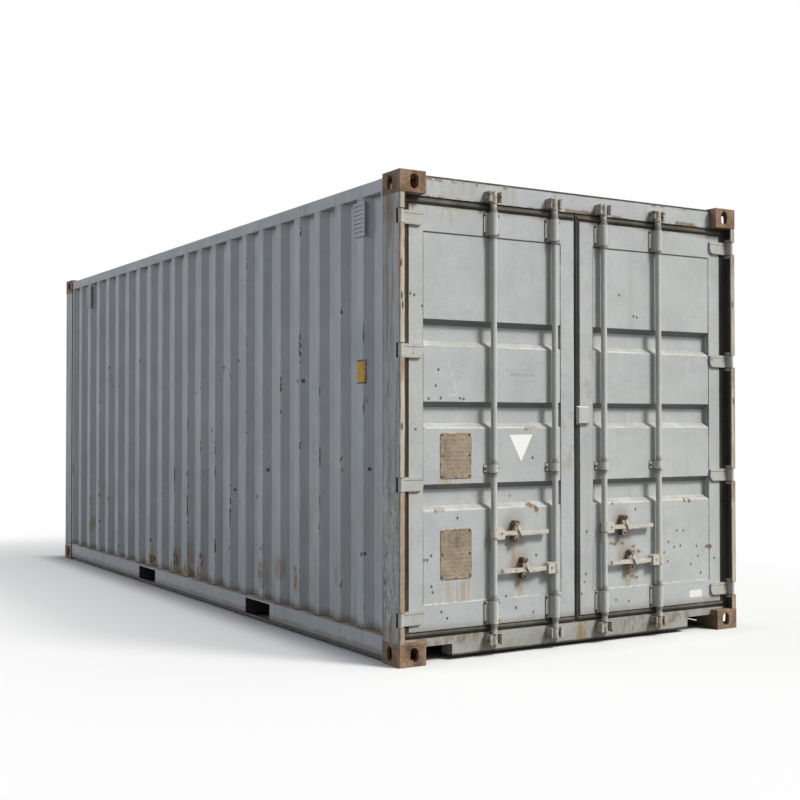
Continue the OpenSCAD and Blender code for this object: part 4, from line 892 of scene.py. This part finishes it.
def makeHeadTree():
    # a washer and a tapered head on every point, turned to an axis and spun at random about it
    washerSides = 14
    tree, given, out = startTree("Heads on Points", Axis="Vector", Sides="Int", Radius="Float", Top="Float",
                                 Height="Float", Washer="Float", WasherHeight="Float", Seed="Int")

    def cone(sides, foot, top, height):
        return put(tree, "GeometryNodeMeshCone", {"Vertices": sides, "Radius Bottom": foot, "Radius Top": top,
                                                  "Depth": height}).outputs["Mesh"]

    head = cone(given["Sides"], given["Radius"], given["Top"], given["Height"])
    washer = cone(washerSides, given["Washer"], given["Washer"], given["WasherHeight"])
    lift = put(tree, "ShaderNodeCombineXYZ", {2: given["WasherHeight"]}).outputs[0]
    raised = put(tree, "GeometryNodeTransform", {"Geometry": head, "Translation": lift}).outputs[0]
    both = put(tree, "GeometryNodeJoinGeometry")
    for part in (raised, washer):
        tree.links.new(part, both.inputs[0])
    turned = put(tree, "FunctionNodeAlignRotationToVector", {"Vector": given["Axis"]}, axis="Z").outputs[0]
    luck = put(tree, "FunctionNodeRandomValue", {"Seed": given["Seed"], "Max": math.tau}, data_type="FLOAT")
    angle = next(o for o in luck.outputs if o.enabled)
    spin = put(tree, "FunctionNodeAxisAngleToRotation", {"Axis": (0.0, 0.0, 1.0), "Angle": angle}).outputs[0]
    facing = put(tree, "FunctionNodeRotateRotation", {"Rotation": turned, "Rotate By": spin},
                 rotation_space="LOCAL").outputs[0]
    placed = put(tree, "GeometryNodeInstanceOnPoints", {
        "Points": given["Geometry"], "Instance": both.outputs[0], "Rotation": facing}).outputs[0]
    return endTree(tree, given, out, placed)


def makeBeadTree():
    # a bead laid along edges, its thickness varied by noise
    tree, given, out = startTree("Bead along Edges", Radius="Float", Step="Float", Unevenness="Float",
                                 Sides="Int")
    line = put(tree, "GeometryNodeMeshToCurve", {"Mesh": given["Geometry"]}).outputs[0]
    even = put(tree, "GeometryNodeResampleCurve", {"Curve": line, "Length": given["Step"]},
               mode="LENGTH").outputs[0]
    ring = put(tree, "GeometryNodeCurvePrimitiveCircle", {
        "Resolution": given["Sides"], "Radius": given["Radius"]}, mode="RADIUS").outputs["Curve"]
    ripple = put(tree, "ShaderNodeTexNoise", {"Scale": 55.0, "Detail": 2.0}).outputs["Fac"]
    swell = calc(tree, "ADD", 1.0, times(tree, calc(tree, "SUBTRACT", ripple, 0.5), given["Unevenness"]))
    swept = put(tree, "GeometryNodeCurveToMesh", {"Curve": even, "Profile Curve": ring, "Scale": swell,
                                                  "Fill Caps": True}).outputs[0]
    smooth = put(tree, "GeometryNodeSetShadeSmooth", {"Geometry": swept}).outputs[0]
    return endTree(tree, given, out, smooth)


def addObject(name, data):
    thing = bpy.data.objects.new(name, data)
    scene.collection.objects.link(thing)
    return thing


def grow(name, body, tree, points, edges, settings):
    seedMesh = bpy.data.meshes.new(name)
    seedMesh.from_pydata([tuple(p) for p in points], edges, [])
    piece = addObject(name, seedMesh)
    modifier = piece.modifiers.new("grow", "NODES")
    modifier.node_group = tree
    for item in tree.interface.items_tree:
        if item.in_out == "INPUT" and item.name in settings:
            modifier[item.identifier] = settings[item.name]
    grown = bpy.data.meshes.new_from_object(piece.evaluated_get(bpy.context.evaluated_depsgraph_get()))
    piece.modifiers.clear()
    piece.data = grown
    grown.name = name
    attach(piece, body)


headTree = makeHeadTree()
beadTree = makeBeadTree()
doors = [("left", "left_door", rodX[:2]), ("right", "right_door", rodX[2:])]

# bolts of the rod brackets: four on each end bracket, two on each middle guide
boltHead = dict(Axis=(0.0, -1.0, 0.0), Sides=6, Radius=0.0058, Top=0.0052, Height=0.004, Washer=0.0068,
                WasherHeight=0.0012, Seed=4, Material=boltRust)
for side, body, rods in doors:
    points = []
    for x in rods:
        points += [(x + i * bracket["across"], leafFace - bracket["thick"], z + j * bracket["up"])
                   for z in (bracket["low"], bracket["high"]) for i in (-1, 1) for j in (-1, 1)]
        points += [(x + i * bracket["across"], panelFace - bracket["thick"], bracket["guide"]) for i in (-1, 1)]
    grow(f"{side}_bracket_bolts", body, headTree, points, [], boltHead)

# ribs along the gaskets' faces: one broad rib at head and foot, narrow ones at the sides
rib = dict(broad=0.011, narrow=0.0046, fine=0.0032, inset=0.012, step=0.4, room=0.02, pair=(0.3, 0.7),
           single=(0.5,))
for side, body, rods in doors:
    low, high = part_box(f"{side}_door_gasket")
    leafA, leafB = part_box(f"{side}_door_frame")
    ribs = {}
    for inner, outer in ((leafA.z, low.z), (leafB.z, high.z)):
        z = (inner + outer) / 2
        ribs.setdefault("broad", []).extend((x, low.y, z)
                                            for x in (low.x + rib["inset"], high.x - rib["inset"]))
    for inner, outer in ((leafA.x, low.x), (leafB.x, high.x)):
        kind, shares = ("narrow", rib["pair"]) if abs(outer - inner) > rib["room"] else ("fine", rib["single"])
        ribs.setdefault(kind, []).extend((inner + (outer - inner) * share, low.y, z) for share in shares
                                         for z in (low.z + rib["inset"], high.z - rib["inset"]))
    for kind, points in ribs.items():
        grow(f"{side}_gasket_ribs_{kind}", body, beadTree, points,
             [(i, i + 1) for i in range(0, len(points), 2)],
             dict(Radius=rib[kind], Step=rib["step"], Unevenness=0.0, Sides=16, Material=gasketBlack))

# weld beads where the side sheets stand on the rails and meet the posts
weldBead = dict(Radius=0.0036, Step=0.012, Unevenness=1.1, Sides=6, Material=weldRust)
for side, sign in (("left", -1), ("right", 1)):
    outer = sign * abs(wallFace)
    inner = outer - sign * wave["depth"]
    profile = [(outer, wallLow.y)]
    for i in range(wave["count"]):
        start = wallLow.y + wave["edge"] + i * wavePitch
        foot = start + wave["slope"]
        profile += [(outer, start), (inner, foot), (inner, foot + wave["trough"]),
                    (outer, foot + wave["trough"] + wave["slope"])]
    profile.append((outer, wallHigh.y))
    points = [(x, y, wallLow.z) for x, y in profile]
    edges = [(i, i + 1) for i in range(len(points) - 1)]
    for y in (wallLow.y, wallHigh.y):
        edges.append((len(points), len(points) + 1))
        points += [(outer, y, wallLow.z), (outer, y, wallHigh.z)]
    grow(f"{side}_wall_welds", "frame", beadTree, points, edges, weldBead)

# screws of the floor sheets, in rows over the cross members
screws = dict(rows=18, pitch=0.3, across=(0.08, 0.36, 0.72, 1.06))
screwHead = dict(Axis=(0.0, 0.0, 1.0), Sides=12, Radius=0.006, Top=0.0045, Height=0.0004, Washer=0.0075,
                 WasherHeight=0.0002, Seed=9, Material=boltRust)
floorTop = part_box("floor_sheets")[1].z
points = [(sign * x, (row - (screws["rows"] - 1) / 2) * screws["pitch"], floorTop)
          for row in range(screws["rows"]) for x in screws["across"] for sign in (-1, 1)]
grow("floor_screws", "frame", headTree, points, [], screwHead)


def agedPlate():
    look = dict(metal="#8A7C6B", pale="#A0917D", dark="#5F5042", rim="#493A2F", bright="#CFC4AF", row=0.011,
                rowShare=0.4, depth=0.0006, metallic=0.25)
    material, tree, skin, vector = startMaterial("agedPlate")
    cloud = grain(tree, vector, 14.0, 6.0, 0.68)
    colour = mixColour(tree, fade(tree, cloud, 0.32, 0.68), tint(look["metal"]), tint(look["pale"]))
    brown = fade(tree, grain(tree, stretch(tree, vector, (9.0, 9.0, 5.0)), 1.0, 6.0, 0.7), 0.48, 0.66, 0.0, 0.7)
    colour = mixColour(tree, brown, colour, tint(look["dark"]))
    pits = fade(tree, grain(tree, vector, 120.0, 2.0), 0.58, 0.68, 0.0, 0.5)
    colour = mixColour(tree, pits, colour, tint(look["rim"]))
    # faint level bands, as rubbed-out rows leave
    rows = fade(tree, calc(tree, "PINGPONG", split(tree, vector)[2], look["row"]), 0.004, 0.008)
    worn = times(tree, rows, fade(tree, grain(tree, vector, 36.0, 4.0), 0.42, 0.6))
    colour = mixColour(tree, times(tree, worn, look["rowShare"]), colour, tint(look["dark"]))
    # edges darkened, then rubbed pale in places: worn metal and a painted highlight on the rims
    edge = place(tree, edgeGroup, Vector=vector, Radius=0.006, Amount=0.85, Scale=40.0)
    colour = mixColour(tree, edge["Mask"], colour, tint(look["rim"]))
    rubbedAndHighlit = times(tree, edge["Mask"], fade(tree, grain(tree, vector, 30.0, 4.0), 0.5, 0.56))
    colour = mixColour(tree, rubbedAndHighlit, colour, tint(look["bright"]))
    rough = fade(tree, cloud, 0.3, 0.7, 0.42, 0.62)
    finishSurface(tree, skin, colour, rough, cloud, look["depth"], edge["Normal"])
    skin["Metallic"].default_value = look["metallic"]
    return material


# rivets: places as shares of the plate's width and height
rivets = dict(across=(0.055, 0.945), up=(0.045, 0.5, 0.955), middle=(0.5, 0.02), sink=0.0002)
rivetHead = dict(Axis=(0.0, -1.0, 0.0), Sides=10, Radius=0.0055, Top=0.003, Height=0.0022, Washer=0.0065,
                 WasherHeight=0.0004, Seed=2, Material=boltRust)


def makePlate(name, look, material):
    # a thin plate with a raised rim, a little bowed, its corners cut
    wide, tall = look["right"] - look["left"], look["top"] - look["foot"]
    columns, rows = look["columns"], look["rows"]
    mesh = bpy.data.meshes.new(name)
    shape = bmesh.new()
    draw = random.Random(look["seed"])
    bow = [draw.uniform(-1, 1) * look["bow"] for _ in range(columns + 1)]
    grid = []
    for j in range(rows + 1):
        line = []
        for i in range(columns + 1):
            x = look["left"] + wide * i / columns
            z = look["foot"] + tall * j / rows
            atSide, atEnd = i in (0, columns), j in (0, rows)
            if atSide and atEnd:
                x += look["cut"] if i == 0 else -look["cut"]
                z += look["cut"] if j == 0 else -look["cut"]
            lift = look["thick"] + (look["rim"] if atSide or atEnd else bow[i])
            line.append(shape.verts.new((x, panelFace - lift, z)))
        grid.append(line)
    for j in range(rows):
        for i in range(columns):
            shape.faces.new((grid[j][i], grid[j][i + 1], grid[j + 1][i + 1], grid[j + 1][i]))
    skirt = [e for e in shape.edges if e.is_boundary]
    for part in bmesh.ops.extrude_edge_only(shape, edges=skirt)["geom"]:
        if isinstance(part, bmesh.types.BMVert):
            part.co.y = panelFace
    bmesh.ops.recalc_face_normals(shape, faces=shape.faces[:])
    shape.to_mesh(mesh)
    shape.free()
    mesh.materials.append(material)
    plate = addObject(name, mesh)
    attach(plate, "left_door")
    places = [(u, v) for u in rivets["across"] for v in rivets["up"]] + [rivets["middle"]]
    points = [(look["left"] + wide * u, panelFace - look["thick"] - rivets["sink"], look["foot"] + tall * v)
              for u, v in places]
    grow(name + "_rivets", "left_door", headTree, points, [], rivetHead)


plateMetal = agedPlate()
plateForm = dict(left=-0.933, right=-0.733, thick=0.0016, rim=0.0012, cut=0.003, bow=0.0003, columns=16,
                 rows=20)
makePlate("upper_plate", dict(plateForm, foot=0.969, top=1.214, seed=3), plateMetal)
makePlate("lower_plate", dict(plateForm, foot=0.43, top=0.698, seed=8), plateMetal)
print("small pieces made")


# floor, lights and camera

def seenDirectly(tree):
    rays = put(tree, "ShaderNodeLightPath").outputs
    return chain(tree, "MAXIMUM", [rays[f"Is {kind} Ray"] for kind in ("Camera", "Glossy", "Transmission")])


def makeFloor():
    look = dict(colour="#D6D7D8", bounce="#727272", halfSize=60.0, nearWhite=0.4, farWhite=0.97, reach=3.4,
                contact=(-0.02, 0.3))
    mesh = bpy.data.meshes.new("studioFloor")
    s = look["halfSize"]
    mesh.from_pydata([(-s, -s, 0), (s, -s, 0), (s, s, 0), (-s, s, 0)], [], [(0, 1, 2, 3)])
    floor = addObject("studioFloor", mesh)
    material = bpy.data.materials.new("studioFloor")
    tree = emptyTree(material)
    direct = seenDirectly(tree)
    shade = mixColour(tree, direct, tint(look["bounce"]), tint(look["colour"]))
    plain = put(tree, "ShaderNodeBsdfDiffuse", {"Color": shade}).outputs[0]
    white = put(tree, "ShaderNodeEmission", {"Color": (1, 1, 1, 1), "Strength": 1.0}).outputs[0]
    # the floor pales with its distance from the container's foot, so a painted shade lies round the foot and
    # fades out
    vector = put(tree, "ShaderNodeTexCoord").outputs["Object"]
    out = spread(tree, "SUBTRACT", spread(tree, "ABSOLUTE", vector), (cadBox[1].x, cadBox[1].y, 0.0))
    away = measure(tree, "LENGTH", spread(tree, "MAXIMUM", out, (0.0, 0.0, 0.0)))
    paler = put(tree, "ShaderNodeMapRange", {
        "Value": away, "From Max": look["reach"], "To Min": look["nearWhite"],
        "To Max": look["farWhite"]}).outputs[0]
    sides = split(tree, out)
    clear = fade(tree, calc(tree, "MAXIMUM", sides[0], sides[1]), *look["contact"])
    paler = times(tree, paler, clear)  # no white under the container, so its shadow stays dark
    mixed = put(tree, "ShaderNodeMixShader", {0: times(tree, direct, paler), 1: plain, 2: white})
    put(tree, "ShaderNodeOutputMaterial", {"Surface": mixed.outputs[0]})
    mesh.materials.append(material)


def makeWorld():
    look = dict(ambient="#F2F5FA", level=0.2)
    scene.world = bpy.data.worlds.new("studio")
    tree = emptyTree(scene.world)
    dim, white = [put(tree, "ShaderNodeBackground", {"Color": colour, "Strength": level}).outputs[0]
                  for colour, level in ((tint(look["ambient"]), look["level"]), ((1, 1, 1, 1), 1.0))]
    mixed = put(tree, "ShaderNodeMixShader", {0: seenDirectly(tree), 1: dim, 2: white})
    put(tree, "ShaderNodeOutputWorld", {"Surface": mixed.outputs[0]})


def makeSun(name, look):
    towards = Vector(look["towards"])
    lamp = bpy.data.lights.new(name, "SUN")
    lamp.energy = look["power"]
    lamp.angle = math.radians(look["width"])
    lamp.color = tint(look["colour"])[:3]
    sun = addObject(name, lamp)
    sun.location = towards * look["away"]
    sun.rotation_euler = towards.to_track_quat("Z", "Y").to_euler()


def makeCamera():
    look = dict(at=(-4.5007, -8.4416, 1.2740), rise=1.014, turn=31.245, lens=55.04, sensor=36.0, far=300.0)
    data = bpy.data.cameras.new("camera")
    data.sensor_fit = "HORIZONTAL"
    data.sensor_width = look["sensor"]
    data.lens = look["lens"]
    data.clip_end = look["far"]
    camera = addObject("camera", data)
    camera.location = look["at"]
    camera.rotation_euler = (math.radians(90 + look["rise"]), 0, -math.radians(look["turn"]))
    scene.camera = camera


suns = dict(
    keySun=dict(towards=(0.397, -0.552, 0.734), away=10, power=3.3, width=14.0, colour="#FFFDF8"),
    broadSun=dict(towards=(0.62, -0.42, 0.66), away=10, power=1.5, width=75.0, colour="#FFFDF8"),
    sideSun=dict(towards=(-0.72, 0.58, 0.38), away=10, power=1.06, width=40.0, colour="#E9EFFA"))
makeFloor()
makeWorld()
for name, look in suns.items():
    makeSun(name, look)
makeCamera()
scene.view_settings.view_transform = "Standard"
print("stage set")
